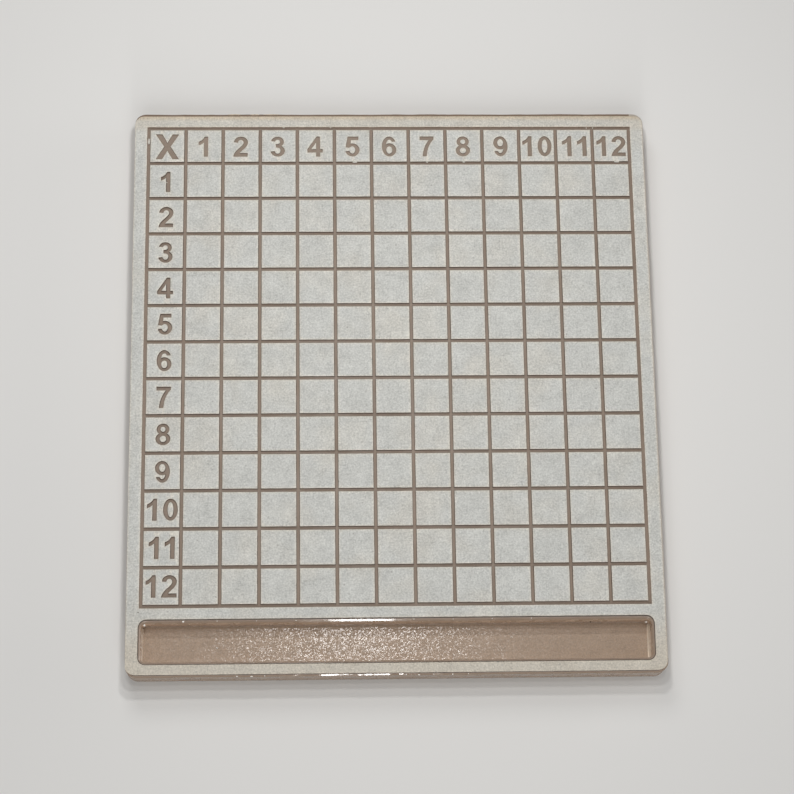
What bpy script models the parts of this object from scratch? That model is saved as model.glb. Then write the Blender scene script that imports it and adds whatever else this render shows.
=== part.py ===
"""Multiplication board with a pen tray.

A thick brown sheet is glued on a thin one. The tray is a window cut right through the thick sheet, so the
thin one is its floor. The top edges are chamfered, round the board and round the tray. A thin pale facing
covers the flat top, and the grid lines and the numerals are cut through it, which leaves one island of facing
for each cell.

Metres, +Z up. The origin is at the middle of the underside, +X runs along the columns' headings and +Y points
away from the tray.
"""

import math

import bmesh
import bpy

# Grid: the highest factor, the distance between line centres and the width of the cut lines
HIGHEST_FACTOR = 12
CELL_PITCH = 0.015875
LINE_WIDTH = 0.0014

# Board outline, measured outwards from the centres of the grid's outer lines
LEFT_MARGIN = 0.0061
RIGHT_MARGIN = 0.0066
BACK_MARGIN = 0.007
BOARD_CORNER_RADIUS = 0.0048

# Tray: its distance from the grid's front line, its size across, and the walls left round it
GRID_TO_TRAY = 0.0067
TRAY_WIDTH = 0.0158
TRAY_FRONT_WALL = 0.0062
TRAY_SIDE_WALL = 0.0062
TRAY_CORNER_RADIUS = 0.0021

# Thicknesses, the glue line between layers, and the web of facing left at the foot of the lines along a row
BASE_THICKNESS = 0.003
TOP_THICKNESS = 0.0087
FACING_THICKNESS = 0.0004
GLUE_LINE = 0.0003
FACING_WEB = 0.00015

# Edges: the eased edges of the base sheet, and the chamfer round the top, where the facing ends
EDGE_EASE = 0.0003
TOP_CHAMFER = 0.0011

# Numerals and times sign: facing left between them and the edges of their cells
NUMERAL_END_CLEARANCE = 0.0027
NUMERAL_SIDE_CLEARANCE = 0.0002
SIGN_END_CLEARANCE = 0.0016
SIGN_SIDE_CLEARANCE = 0.0023

# Numeral drawing: heights are 1, a digit's own space is this wide, and two ones stand closer together
DIGIT_SPACE = 0.775
DOUBLE_ONE_KERN = 0.06

# Fineness of round stretches
ARC_STEP_DEGREES = 15.0
BEND_STEPS = 5
CORNER_STEP_DEGREES = 15.0

# Sizes that follow from the ones above
GRID_CELLS = HIGHEST_FACTOR + 1
GRID_SIDE = GRID_CELLS * CELL_PITCH
CELL_SIDE = CELL_PITCH - LINE_WIDTH
BOARD_WIDTH = LEFT_MARGIN + GRID_SIDE + RIGHT_MARGIN
BOARD_DEPTH = BACK_MARGIN + GRID_SIDE + GRID_TO_TRAY + TRAY_WIDTH + TRAY_FRONT_WALL
BOARD_RIGHT = BOARD_WIDTH / 2
BOARD_BACK = BOARD_DEPTH / 2
GRID_LEFT = LEFT_MARGIN - BOARD_RIGHT
GRID_BACK = BOARD_BACK - BACK_MARGIN
TRAY_BACK = GRID_BACK - GRID_SIDE - GRID_TO_TRAY
TRAY_FRONT = TRAY_BACK - TRAY_WIDTH
TRAY_RIGHT = BOARD_RIGHT - TRAY_SIDE_WALL
TOP_SHEET_BOTTOM = BASE_THICKNESS + GLUE_LINE
FACING_BOTTOM = TOP_SHEET_BOTTOM + TOP_THICKNESS + GLUE_LINE
NUMERAL_HEIGHT = CELL_SIDE - 2 * NUMERAL_END_CLEARANCE
DIGIT_ADVANCE = (CELL_SIDE - 2 * NUMERAL_SIDE_CLEARANCE) / 2

# Finishes: linear colour and roughness
BROWN = (0.21, 0.155, 0.112, 1.0)
PALE = (0.50, 0.485, 0.45, 1.0)
SHEET_ROUGHNESS = 0.3
FACING_ROUGHNESS = 0.75

# Points closer than this are one point
SAME_POINT = 1e-7


# Outlines

def joined(*stretches):
    """One outline from stretches of points, without points that repeat."""
    outline = []
    for stretch in stretches:
        for point in stretch:
            if not outline or math.dist(point, outline[-1]) > SAME_POINT:
                outline.append(point)
    if math.dist(outline[0], outline[-1]) <= SAME_POINT:
        outline.pop()
    return outline


def arc(centre, radii, start, end, step=ARC_STEP_DEGREES):
    """Points on an ellipse from one angle to another, in degrees."""
    count = max(1, round(abs(end - start) / step))
    points = []
    for i in range(count + 1):
        angle = math.radians(start + (end - start) * i / count)
        points.append((centre[0] + radii[0] * math.cos(angle), centre[1] + radii[1] * math.sin(angle)))
    return points


def bend(start, control, end):
    """Points on the curve that leaves start towards control and reaches end from it."""
    points = []
    for i in range(BEND_STEPS + 1):
        t = i / BEND_STEPS
        a, b, c = (1 - t) ** 2, 2 * t * (1 - t), t ** 2
        points.append(tuple(a * p + b * q + c * r for p, q, r in zip(start, control, end)))
    return points


def half_turned(outline, middle):
    """The outline turned by half a turn about a point."""
    return [(2 * middle[0] - x, 2 * middle[1] - y) for x, y in outline]


def rectangle(left, right, front, back):
    """A rectangle, anticlockwise."""
    return [(left, front), (right, front), (right, back), (left, back)]


def rounded_rectangle(left, right, front, back, radius):
    """A rectangle with round corners, anticlockwise."""
    radius = min(radius, (right - left) / 2, (back - front) / 2)
    corners = [
        (right - radius, front + radius, -90.0),
        (right - radius, back - radius, 0.0),
        (left + radius, back - radius, 90.0),
        (left + radius, front + radius, 180.0),
    ]
    return joined(*[
        arc((x, y), (radius, radius), start, start + 90.0, CORNER_STEP_DEGREES) for x, y, start in corners
    ])


# Numerals: each gives its outline and its named counters, one unit high, in a space DIGIT_SPACE wide

def numeral_zero():
    middle = (0.3875, 0.5)
    return arc(middle, (0.325, 0.5), 0, 360), {"counter": arc(middle, (0.135, 0.345), 0, 360)}


def numeral_one():
    outline = joined(
        [(0.356, 0.0), (0.547, 0.0), (0.547, 1.0)],
        bend((0.392, 1.0), (0.33, 0.83), (0.109, 0.748)),
        bend((0.109, 0.575), (0.26, 0.62), (0.356, 0.719)),
    )
    return outline, {}


def numeral_two():
    outline = joined(
        [(0.035, 0.0), (0.704, 0.0), (0.704, 0.177)],
        bend((0.335, 0.177), (0.37, 0.24), (0.50, 0.36)),
        bend((0.50, 0.36), (0.71, 0.54), (0.71, 0.712)),
        arc((0.385, 0.712), (0.325, 0.288), 0, 178),
        arc((0.381, 0.70), (0.133, 0.142), 178, 0),
        bend((0.514, 0.70), (0.514, 0.60), (0.315, 0.43)),
        bend((0.315, 0.43), (0.05, 0.20), (0.035, 0.0)),
    )
    return outline, {}


def numeral_three():
    outline = joined(
        arc((0.372, 0.285), (0.328, 0.285), 188, 418),
        arc((0.362, 0.735), (0.295, 0.265), -50, 170),
        arc((0.365, 0.735), (0.115, 0.115), 170, -90),
        [(0.275, 0.617), (0.292, 0.462)],
        arc((0.372, 0.295), (0.135, 0.152), 90, -172),
    )
    return outline, {}


def numeral_four():
    stem_left, stem_right = 0.435, 0.62
    bar_bottom, bar_top = 0.2, 0.368
    outline = [
        (stem_left, 0.0), (stem_right, 0.0), (stem_right, bar_bottom), (0.743, bar_bottom), (0.743, bar_top),
        (stem_right, bar_top), (stem_right, 1.0), (0.459, 1.0), (0.027, bar_top), (0.027, bar_bottom),
        (stem_left, bar_bottom),
    ]
    return outline, {"counter": [(0.206, bar_top), (stem_left, bar_top), (stem_left, 0.709)]}


def numeral_five():
    outline = joined(
        arc((0.40, 0.328), (0.33, 0.328), 192, 465),
        [(0.327, 0.822), (0.685, 0.822), (0.685, 1.0), (0.183, 1.0), (0.086, 0.463), (0.24, 0.44)],
        arc((0.395, 0.328), (0.14, 0.185), 125, -165),
    )
    return outline, {}


def numeral_six():
    outline = joined(
        arc((0.39, 0.5), (0.335, 0.5), 30, 270),
        arc((0.393, 0.327), (0.327, 0.327), -90, 112),
        arc((0.40, 0.55), (0.155, 0.295), 172, 40),
    )
    return outline, {"counter": arc((0.397, 0.32), (0.143, 0.182), 0, 360)}


def numeral_seven():
    bar_bottom = 0.823
    outline = joined(
        [(0.194, 0.0)],
        bend((0.378, 0.0), (0.40, 0.52), (0.713, 0.86)),
        [(0.713, 1.0), (0.059, 1.0), (0.059, bar_bottom)],
        bend((0.483, bar_bottom), (0.215, 0.45), (0.194, 0.0)),
    )
    return outline, {}


def numeral_eight():
    upper, lower = (0.387, 0.735), (0.387, 0.29)
    outline = joined(
        arc(lower, (0.332, 0.29), 123, 417),
        arc(upper, (0.285, 0.265), -50, 230),
    )
    counters = {
        "upper_counter": arc(upper, (0.118, 0.118), 0, 360),
        "lower_counter": arc(lower, (0.147, 0.15), 0, 360),
    }
    return outline, counters


def numeral_nine():
    middle = (DIGIT_SPACE / 2, 0.5)
    outline, counters = numeral_six()
    return half_turned(outline, middle), {name: half_turned(c, middle) for name, c in counters.items()}


NUMERALS = {
    "0": numeral_zero, "1": numeral_one, "2": numeral_two, "3": numeral_three, "4": numeral_four,
    "5": numeral_five, "6": numeral_six, "7": numeral_seven, "8": numeral_eight, "9": numeral_nine,
}


def set_in_cell(points, digit_left):
    """A digit's points at their real size, in a cell whose middle is the origin."""
    stretch = DIGIT_ADVANCE / DIGIT_SPACE
    return [(digit_left + x * stretch, (y - 0.5) * NUMERAL_HEIGHT) for x, y in points]


def number_outlines(number):
    """The outlines and the named counters of a whole number, centred on the middle of its cell."""
    text = str(number)
    kern = DOUBLE_ONE_KERN * DIGIT_ADVANCE / DIGIT_SPACE if text == "11" else 0.0
    number_left = -(len(text) * DIGIT_ADVANCE - kern) / 2
    outlines, counters = [], {}
    for position, digit in enumerate(text):
        digit_left = number_left + position * (DIGIT_ADVANCE - kern)
        outline, digit_counters = NUMERALS[digit]()
        outlines.append(set_in_cell(outline, digit_left))
        for name, counter in digit_counters.items():
            counters[name] = set_in_cell(counter, digit_left)
    return outlines, counters


def times_sign_outline():
    """Two crossed strokes, from the front notch up the right side and, by half a turn, down the left side."""
    half_width = CELL_SIDE / 2 - SIGN_SIDE_CLEARANCE
    half_height = CELL_SIDE / 2 - SIGN_END_CLEARANCE
    arm_inside, side_notch, end_notch = 0.44, 0.27, 0.31
    right_side = [
        (0.0, -end_notch), (arm_inside, -1.0), (1.0, -1.0),
        (side_notch, 0.0), (1.0, 1.0), (arm_inside, 1.0),
    ]
    both_sides = right_side + half_turned(right_side, (0.0, 0.0))
    return [(x * half_width, y * half_height) for x, y in both_sides]


# Solids

def material(name, colour, roughness):
    """A plain finish."""
    made = bpy.data.materials.new(name)
    made.use_nodes = True
    shader = made.node_tree.nodes["Principled BSDF"]
    shader.inputs["Base Color"].default_value = colour
    shader.inputs["Roughness"].default_value = roughness
    shader.inputs["Metallic"].default_value = 0.0
    made.diffuse_color = colour
    return made


def flat_solid(name, outlines, thickness, finish, ease=0.0):
    """A flat piece, the first outline less the others, with its middle height at zero and its edges eased."""
    curve = bpy.data.curves.new(name, "CURVE")
    curve.dimensions = "2D"
    curve.fill_mode = "BOTH"
    curve.extrude = thickness / 2 - ease
    curve.bevel_depth = ease
    curve.bevel_resolution = 0
    curve.offset = -ease
    for order, outline in enumerate(outlines):
        spline = curve.splines.new("POLY")
        spline.points.add(len(outline) - 1)
        wound = outline if order == 0 else outline[::-1]
        for point, (x, y) in zip(spline.points, wound):
            point.co = (x, y, 0.0, 1.0)
        spline.use_cyclic_u = True
    piece = bpy.data.objects.new(name, curve)
    curve.materials.append(finish)
    return piece


def chamfered_sheet(name, outlines, thickness, chamfer, finish):
    """A sheet on zero height with chamfered top edges, as the upper half of a flat piece twice as thick."""
    doubled = flat_solid(name, outlines, 2 * thickness, finish, chamfer)
    mesh = bpy.data.meshes.new_from_object(doubled)
    bpy.data.objects.remove(doubled)
    body = bmesh.new()
    body.from_mesh(mesh)
    bmesh.ops.remove_doubles(body, verts=body.verts, dist=SAME_POINT)
    everything = [*body.verts, *body.edges, *body.faces]
    middle, upwards = (0.0, 0.0, 0.0), (0.0, 0.0, 1.0)
    bmesh.ops.bisect_plane(body, geom=everything, plane_co=middle, plane_no=upwards, clear_inner=True)
    underside = [edge for edge in body.edges if edge.is_boundary]
    bmesh.ops.triangle_fill(body, edges=underside, use_beauty=True, use_dissolve=False)
    bmesh.ops.recalc_face_normals(body, faces=body.faces)
    body.to_mesh(mesh)
    body.free()
    return bpy.data.objects.new(name, mesh)


def place(piece, board, location, rotation=(0.0, 0.0, 0.0)):
    """Puts a piece in the board's collection and under the board's empty."""
    piece.location = location
    piece.rotation_euler = rotation
    piece.parent = board
    bpy.data.collections["multiplication_board"].objects.link(piece)


def cell_middle(column, row):
    """The middle of a cell, counted from the back left corner."""
    return GRID_LEFT + (column + 0.5) * CELL_PITCH, GRID_BACK - (row + 0.5) * CELL_PITCH


def board_outline(setback=0.0):
    """The outline that both sheets share, smaller all round by a setback."""
    right, back = BOARD_RIGHT - setback, BOARD_BACK - setback
    return rounded_rectangle(-right, right, -back, back, BOARD_CORNER_RADIUS - setback)


def tray_outline(setback=0.0):
    """The tray's walls, wider all round by a setback."""
    return rounded_rectangle(
        -TRAY_RIGHT - setback, TRAY_RIGHT + setback, TRAY_FRONT - setback, TRAY_BACK + setback,
        TRAY_CORNER_RADIUS + setback,
    )


def base_sheet(board):
    """The thin lower sheet, whose top is the tray's floor."""
    finish = material("base_sheet_brown", BROWN, SHEET_ROUGHNESS)
    sheet = flat_solid("base_sheet", [board_outline()], BASE_THICKNESS, finish, EDGE_EASE)
    place(sheet, board, (0.0, 0.0, BASE_THICKNESS / 2))


def top_sheet(board):
    """The thick upper sheet, with the tray window cut through it and its top edges chamfered."""
    finish = material("top_sheet_brown", BROWN, SHEET_ROUGHNESS)
    outlines = [board_outline(), tray_outline()]
    sheet = chamfered_sheet("top_sheet", outlines, TOP_THICKNESS, TOP_CHAMFER, finish)
    place(sheet, board, (0.0, 0.0, TOP_SHEET_BOTTOM))


def border_facing(board):
    """The facing round the grid and the tray, up to the chamfers."""
    finish = material("border_facing_pale", PALE, FACING_ROUGHNESS)
    half_line = LINE_WIDTH / 2
    grid_window = rectangle(
        GRID_LEFT - half_line, GRID_LEFT + GRID_SIDE + half_line,
        GRID_BACK - GRID_SIDE - half_line, GRID_BACK + half_line,
    )
    outlines = [board_outline(TOP_CHAMFER), grid_window, tray_outline(TOP_CHAMFER)]
    place(flat_solid("border_facing", outlines, FACING_THICKNESS, finish), board, (0.0, 0.0, facing_middle()))


def facing_middle():
    """The middle height of the facing."""
    return FACING_BOTTOM + FACING_THICKNESS / 2


def cell_outline():
    """The facing of one cell, between the lines round it."""
    return rectangle(-CELL_SIDE / 2, CELL_SIDE / 2, -CELL_SIDE / 2, CELL_SIDE / 2)


def times_sign_tile(board):
    """The corner cell, with the times sign cut out of it."""
    finish = material("times_sign_facing_pale", PALE, FACING_ROUGHNESS)
    tile = flat_solid("times_sign_tile", [cell_outline(), times_sign_outline()], FACING_THICKNESS, finish)
    place(tile, board, (*cell_middle(0, 0), facing_middle()))


def heading(board, name, number, column, row, finish):
    """A heading cell with its number cut out, and the islands left inside the numerals."""
    outlines, counters = number_outlines(number)
    location = (*cell_middle(column, row), facing_middle())
    place(flat_solid(name, [cell_outline(), *outlines], FACING_THICKNESS, finish), board, location)
    for counter, outline in counters.items():
        place(flat_solid(f"{name}_{counter}", [outline], FACING_THICKNESS, finish), board, location)


def headings(board):
    """The factors along the back row and down the left column."""
    finish = material("heading_facing_pale", PALE, FACING_ROUGHNESS)
    for number in range(1, HIGHEST_FACTOR + 1):
        heading(board, f"column_heading_{number}", number, number, 0, finish)
        heading(board, f"row_heading_{number}", number, 0, number, finish)


def product_row_profile():
    """A row of plain cells seen from the front, on the web left at the foot of the lines."""
    row_left = -HIGHEST_FACTOR * CELL_PITCH / 2
    profile = [(row_left + LINE_WIDTH / 2, 0.0), (-row_left - LINE_WIDTH / 2, 0.0)]
    for column in reversed(range(HIGHEST_FACTOR)):
        middle = row_left + (column + 0.5) * CELL_PITCH
        right, left = middle + CELL_SIDE / 2, middle - CELL_SIDE / 2
        at_right_end, at_left_end = column == HIGHEST_FACTOR - 1, column == 0
        profile += [] if at_right_end else [(right, FACING_WEB)]
        profile += [(right, FACING_THICKNESS), (left, FACING_THICKNESS)]
        profile += [] if at_left_end else [(left, FACING_WEB)]
    return profile


def product_rows(board):
    """The plain cells for the products, one strip of facing for each row."""
    finish = material("product_facing_pale", PALE, FACING_ROUGHNESS)
    upright = (math.pi / 2, 0.0, 0.0)
    row_middle = GRID_LEFT + (GRID_SIDE + CELL_PITCH) / 2
    for number in range(1, HIGHEST_FACTOR + 1):
        strip = flat_solid(f"product_row_{number}", [product_row_profile()], CELL_SIDE, finish)
        place(strip, board, (row_middle, cell_middle(0, number)[1], FACING_BOTTOM), upright)


def main():
    for left_over in list(bpy.data.objects):
        bpy.data.objects.remove(left_over)
    collection = bpy.data.collections.new("multiplication_board")
    bpy.context.scene.collection.children.link(collection)
    board = bpy.data.objects.new("multiplication_board_middle", None)
    collection.objects.link(board)
    base_sheet(board)
    top_sheet(board)
    border_facing(board)
    times_sign_tile(board)
    headings(board)
    product_rows(board)


main()
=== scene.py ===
"""Looks of the multiplication board: its meshes, finishes, light and camera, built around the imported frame.

A thick brown sheet lies on a thin one, and a pen tray is cut through the thick one. The top carries a thin
pale paper facing. Grid lines and numerals are engraved through the paper into the brown, so that every cell
stands as a low land with paper on it. Metres, +Z up, in the frame of the CAD model.
"""

import logging
import math
from dataclasses import dataclass, field
from enum import Enum
from typing import Any

import bpy
import numpy as np
from mathutils import Matrix, Vector, geometry, kdtree, noise


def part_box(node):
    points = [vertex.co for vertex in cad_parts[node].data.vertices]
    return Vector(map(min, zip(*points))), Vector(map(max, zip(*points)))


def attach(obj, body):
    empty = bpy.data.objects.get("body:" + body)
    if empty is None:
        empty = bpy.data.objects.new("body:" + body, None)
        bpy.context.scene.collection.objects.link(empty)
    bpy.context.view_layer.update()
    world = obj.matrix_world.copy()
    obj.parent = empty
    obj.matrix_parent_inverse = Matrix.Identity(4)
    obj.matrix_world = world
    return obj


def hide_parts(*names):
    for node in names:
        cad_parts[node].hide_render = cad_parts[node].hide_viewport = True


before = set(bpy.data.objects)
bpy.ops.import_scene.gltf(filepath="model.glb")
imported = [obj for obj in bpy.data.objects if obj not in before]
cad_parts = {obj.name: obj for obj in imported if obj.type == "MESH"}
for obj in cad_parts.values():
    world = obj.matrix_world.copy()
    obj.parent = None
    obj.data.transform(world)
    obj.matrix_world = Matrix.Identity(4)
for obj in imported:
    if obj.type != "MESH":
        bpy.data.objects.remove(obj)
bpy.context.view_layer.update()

LOG = logging.getLogger("multiplication_board")
MILLIMETRE = 0.001
SAME_POINT = 1e-7
SHARP_ANGLE = math.radians(28.0)
TRIANGLES_INSIDE = 1
BODY = "root"
RIM = "rim"

Point = tuple[float, float]
Place = tuple[float, float, float]
Outline = list[Point]
Glyph = tuple[Outline, list[Outline]]
Colour = tuple[float, float, float]
NoiseKind = tuple[float, float, float]


class Slot(Enum):
    """Material slots of the record."""

    SHEET = "brown_sheet"
    FACING = "pale_facing"


# Outlines

# Degrees between the points of an arc, and the number of pieces of a bend.
ARC_STEP = 6.0
BEND_STEPS = 10

# Where a moved outline folds or crosses itself, its points step back by a factor, at most so many times.
# A run folds when it keeps less than a share of its length, and crossings are looked for among close runs.
STEP_BACK = 0.7
MOST_STEPS = 16
LEAST_RUN = 0.15
CLOSE_RUNS = 20


def joined(*stretches: Outline) -> Outline:
    """Join stretches of points into one closed outline.

    Args:
        stretches: runs of points, in order.

    Returns:
        The outline, without points that repeat.
    """
    outline: Outline = []
    for stretch in stretches:
        for point in stretch:
            if not outline or math.dist(point, outline[-1]) > SAME_POINT:
                outline.append(point)
    if math.dist(outline[0], outline[-1]) <= SAME_POINT:
        outline.pop()
    return outline


def arc(centre: Point, radii: Point, start: float, end: float) -> Outline:
    """Draw a stretch of an ellipse.

    Args:
        centre: middle of the ellipse.
        radii: half its width and half its height.
        start: first angle, in degrees.
        end: last angle, in degrees.

    Returns:
        The points of the stretch.
    """
    count = max(1, round(abs(end - start) / ARC_STEP))
    points: Outline = []
    for i in range(count + 1):
        angle = math.radians(start + (end - start) * i / count)
        points.append((centre[0] + radii[0] * math.cos(angle), centre[1] + radii[1] * math.sin(angle)))
    return points


def ellipse(centre: Point, radii: Point) -> Outline:
    """A whole ellipse, anticlockwise."""
    return joined(arc(centre, radii, 0, 360))


def bend(start: Point, control: Point, end: Point) -> Outline:
    """Draw a curve that leaves start towards control and reaches end from it.

    Args:
        start: first point.
        control: point that pulls the curve.
        end: last point.

    Returns:
        The points of the curve.
    """
    points: Outline = []
    for i in range(BEND_STEPS + 1):
        t = i / BEND_STEPS
        a, b, c = (1 - t) ** 2, 2 * t * (1 - t), t ** 2
        x, y = (a * start[k] + b * control[k] + c * end[k] for k in range(2))
        points.append((x, y))
    return points


def half_turned(outline: Outline, middle: Point) -> Outline:
    """The outline turned by half a turn about a point."""
    return [(2 * middle[0] - x, 2 * middle[1] - y) for x, y in outline]


def rectangle(left: float, right: float, front: float, back: float) -> Outline:
    """A rectangle, anticlockwise."""
    return [(left, front), (right, front), (right, back), (left, back)]


def rounded_rectangle(left: float, right: float, front: float, back: float, radius: float) -> Outline:
    """Draw a rectangle with round corners, anticlockwise.

    Args:
        left: lowest x.
        right: highest x.
        front: lowest y.
        back: highest y.
        radius: radius of the corners.

    Returns:
        The outline.
    """
    corners = [
        (right - radius, front + radius, -90.0),
        (right - radius, back - radius, 0.0),
        (left + radius, back - radius, 90.0),
        (left + radius, front + radius, 180.0),
    ]
    return joined(*[arc((x, y), (radius, radius), start, start + 90.0) for x, y, start in corners])


def moved(outline: Outline, offset: Point) -> Outline:
    """The outline moved by an offset."""
    return [(x + offset[0], y + offset[1]) for x, y in outline]


def resampled(outline: Outline, spacing: float) -> Outline:
    """Put more points on long straight runs.

    Args:
        outline: closed outline.
        spacing: longest distance left between points.

    Returns:
        The outline with all its own points and the added ones.
    """
    points: Outline = []
    for (x0, y0), (x1, y1) in zip(outline, outline[1:] + outline[:1]):
        count = max(1, math.ceil(math.hypot(x1 - x0, y1 - y0) / spacing))
        points += [(x0 + (x1 - x0) * i / count, y0 + (y1 - y0) * i / count) for i in range(count)]
    return points


def side_of(start: np.ndarray, end: np.ndarray, point: np.ndarray) -> np.ndarray:
    """Positive where a point lies to the left of its run."""
    along, across = end - start, point - start
    return along[:, 0] * across[:, 1] - along[:, 1] * across[:, 0]


def crossed(loop: np.ndarray, gap: int) -> np.ndarray:
    """Tell which runs of a loop cross the run that lies some places further on.

    Args:
        loop: rows of x and y.
        gap: number of places.

    Returns:
        A truth value for each run.
    """
    a, b, c, d = (np.roll(loop, -places, axis=0) for places in (0, 1, gap, gap + 1))
    return (side_of(a, b, c) * side_of(a, b, d) < 0) & (side_of(c, d, a) * side_of(c, d, b) < 0)


def shifted(here: np.ndarray, move: np.ndarray) -> Outline:
    """Move the points of a closed outline, less far where it would fold or cross itself.

    Args:
        here: rows of x and y.
        move: how far each point moves.

    Returns:
        The moved outline, point for point.
    """
    run = np.roll(here, -1, axis=0) - here
    there, share = here + move, np.ones((len(here), 1))
    for _ in range(MOST_STEPS):
        kept = ((np.roll(there, -1, axis=0) - there) * run).sum(axis=1)
        tight = kept < LEAST_RUN * (run ** 2).sum(axis=1)
        tight |= np.roll(tight, 1)
        for gap in range(2, min(CLOSE_RUNS, len(here) - 2)):
            hits = crossed(there, gap)
            if hits.any():
                tight |= np.any([np.roll(hits, places) for places in range(gap + 2)], axis=0)
        if not tight.any():
            break
        share[tight] *= STEP_BACK
        there = here + move * share
    return [tuple(point) for point in there]


def inset(outline: Outline, distance: float | np.ndarray, longest: float = 1.6) -> Outline:
    """Move an outline sideways, to its left.

    Args:
        outline: closed outline, with the material on its left.
        distance: how far it moves into the material, everywhere or point by point.
        longest: the most that a corner moves, as a multiple of the distance.

    Returns:
        The moved outline, point for point.
    """
    here = np.array(outline)
    sides = []
    for run in (here - np.roll(here, 1, axis=0), np.roll(here, -1, axis=0) - here):
        length = np.maximum(np.linalg.norm(run, axis=1, keepdims=True), SAME_POINT)
        sides.append(np.stack([-run[:, 1], run[:, 0]], axis=1) / length)
    middle = sides[0] + sides[1]
    middle /= np.maximum(np.linalg.norm(middle, axis=1, keepdims=True), SAME_POINT)
    reach = 1.0 / np.maximum((middle * sides[0]).sum(axis=1, keepdims=True), 1.0 / longest)
    return shifted(here, middle * reach * np.reshape(distance, (-1, 1)))


def ragged(outline: Outline, size: float, wave: float, seed: float) -> Outline:
    """Make an outline waver the way a cut edge does, always into the material.

    Args:
        outline: closed outline, with the material on its left.
        size: about half of the greatest move.
        wave: about the length of one waver.
        seed: picks the pattern.

    Returns:
        The wavering outline.
    """
    here = np.array(outline)
    there = np.array(inset(outline, size, 1.0))
    moves = []
    for x, y in here / wave:
        broad, fine = noise.noise((x, y, seed)), noise.noise((3 * x, 3 * y, seed))
        moves.append(max(0.0, 1.0 + broad + fine / 2))
    return shifted(here, (there - here) * np.array(moves)[:, None])


def blob(length: float, width: float, turn: float, seed: float) -> Outline:
    """Draw a ragged scrap about the origin.

    Args:
        length: its length.
        width: its width.
        turn: angle of its length, in degrees.
        seed: picks the ragged pattern.

    Returns:
        The outline, anticlockwise.
    """
    fewest, more, depth, step = 14, 6, 0.4, 0.7
    count = fewest + round(more * length / width)
    along, across = math.cos(math.radians(turn)), math.sin(math.radians(turn))
    points: Outline = []
    for i in range(count):
        angle = 2 * math.pi * i / count
        swell = 1.0 + depth * noise.noise((seed, step * i, 2.0))
        x, y = length / 2 * math.cos(angle), width / 2 * swell * math.sin(angle)
        points.append((x * along - y * across, x * across + y * along))
    return points


def inside(points: np.ndarray, outlines: list[Outline]) -> np.ndarray:
    """Tell which points lie in a region.

    Args:
        points: rows of x and y.
        outlines: the region's outlines, holes among them.

    Returns:
        A truth value for each point.
    """
    odd = np.zeros(len(points), bool)
    px, py = points[:, 0:1], points[:, 1:2]
    for outline in outlines:
        a = np.array(outline)
        b = np.roll(a, -1, axis=0)
        across = (a[:, 1] > py) != (b[:, 1] > py)
        rise = np.where(b[:, 1] == a[:, 1], 1.0, b[:, 1] - a[:, 1])
        meets = px < (b[:, 0] - a[:, 0]) * (py - a[:, 1]) / rise + a[:, 0]
        odd ^= ((across & meets).sum(axis=1) % 2).astype(bool)
    return odd


# Sizes


@dataclass(frozen=True)
class BoardFrame:
    """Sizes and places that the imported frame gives, the number of cells and the corners' radius."""

    pitch: float
    cell_side: float
    grid_left: float
    grid_back: float
    half_width: float
    half_depth: float
    chamfer: float
    base_top: float
    face: float
    cells: int = 13
    corner_radius: float = 4.8 * MILLIMETRE

    @classmethod
    def read(cls) -> "BoardFrame":
        """Read the sizes from the nodes' boxes.

        Returns:
            The sizes.
        """
        tile_low, tile_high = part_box("times_sign_tile")
        next_low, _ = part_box("column_heading_1")
        _, sheet_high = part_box("top_sheet")
        _, base_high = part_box("base_sheet")
        _, facing_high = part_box("border_facing")
        pitch, side = next_low.x - tile_low.x, tile_high.x - tile_low.x
        line = pitch - side
        return cls(
            pitch, side, tile_low.x - line / 2, tile_high.y + line / 2, sheet_high.x, sheet_high.y,
            sheet_high.x - facing_high.x, base_high.z, facing_high.z,
        )

    def spot(self, across: float, down: float) -> Point:
        """A place on the face, in cells from the grid's back left corner."""
        return self.grid_left + across * self.pitch, self.grid_back - down * self.pitch

    def cell_middle(self, column: int, row: int) -> Point:
        """The middle of a cell, counted from the back left corner."""
        return self.spot(column + 0.5, row + 0.5)

    def cell(self, margin: float = 0.0) -> Outline:
        """The outline of a cell about its middle, smaller all round by a margin."""
        half = self.cell_side / 2 - margin
        return rectangle(-half, half, -half, half)

    def outline(self, setback: float = 0.0) -> Outline:
        """The board's outline, smaller all round by a setback."""
        right, back = self.half_width - setback, self.half_depth - setback
        return rounded_rectangle(-right, right, -back, back, self.corner_radius - setback)

    def grid_window(self) -> Outline:
        """Draw the outer edge of the grid's outer lines.

        Returns:
            The outline, anticlockwise.
        """
        half_line = (self.pitch - self.cell_side) / 2
        left, back = self.grid_left - half_line, self.grid_back + half_line
        side = self.cells * self.pitch + 2 * half_line
        return rectangle(left, left + side, back - side, back)


# Shader graphs


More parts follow.
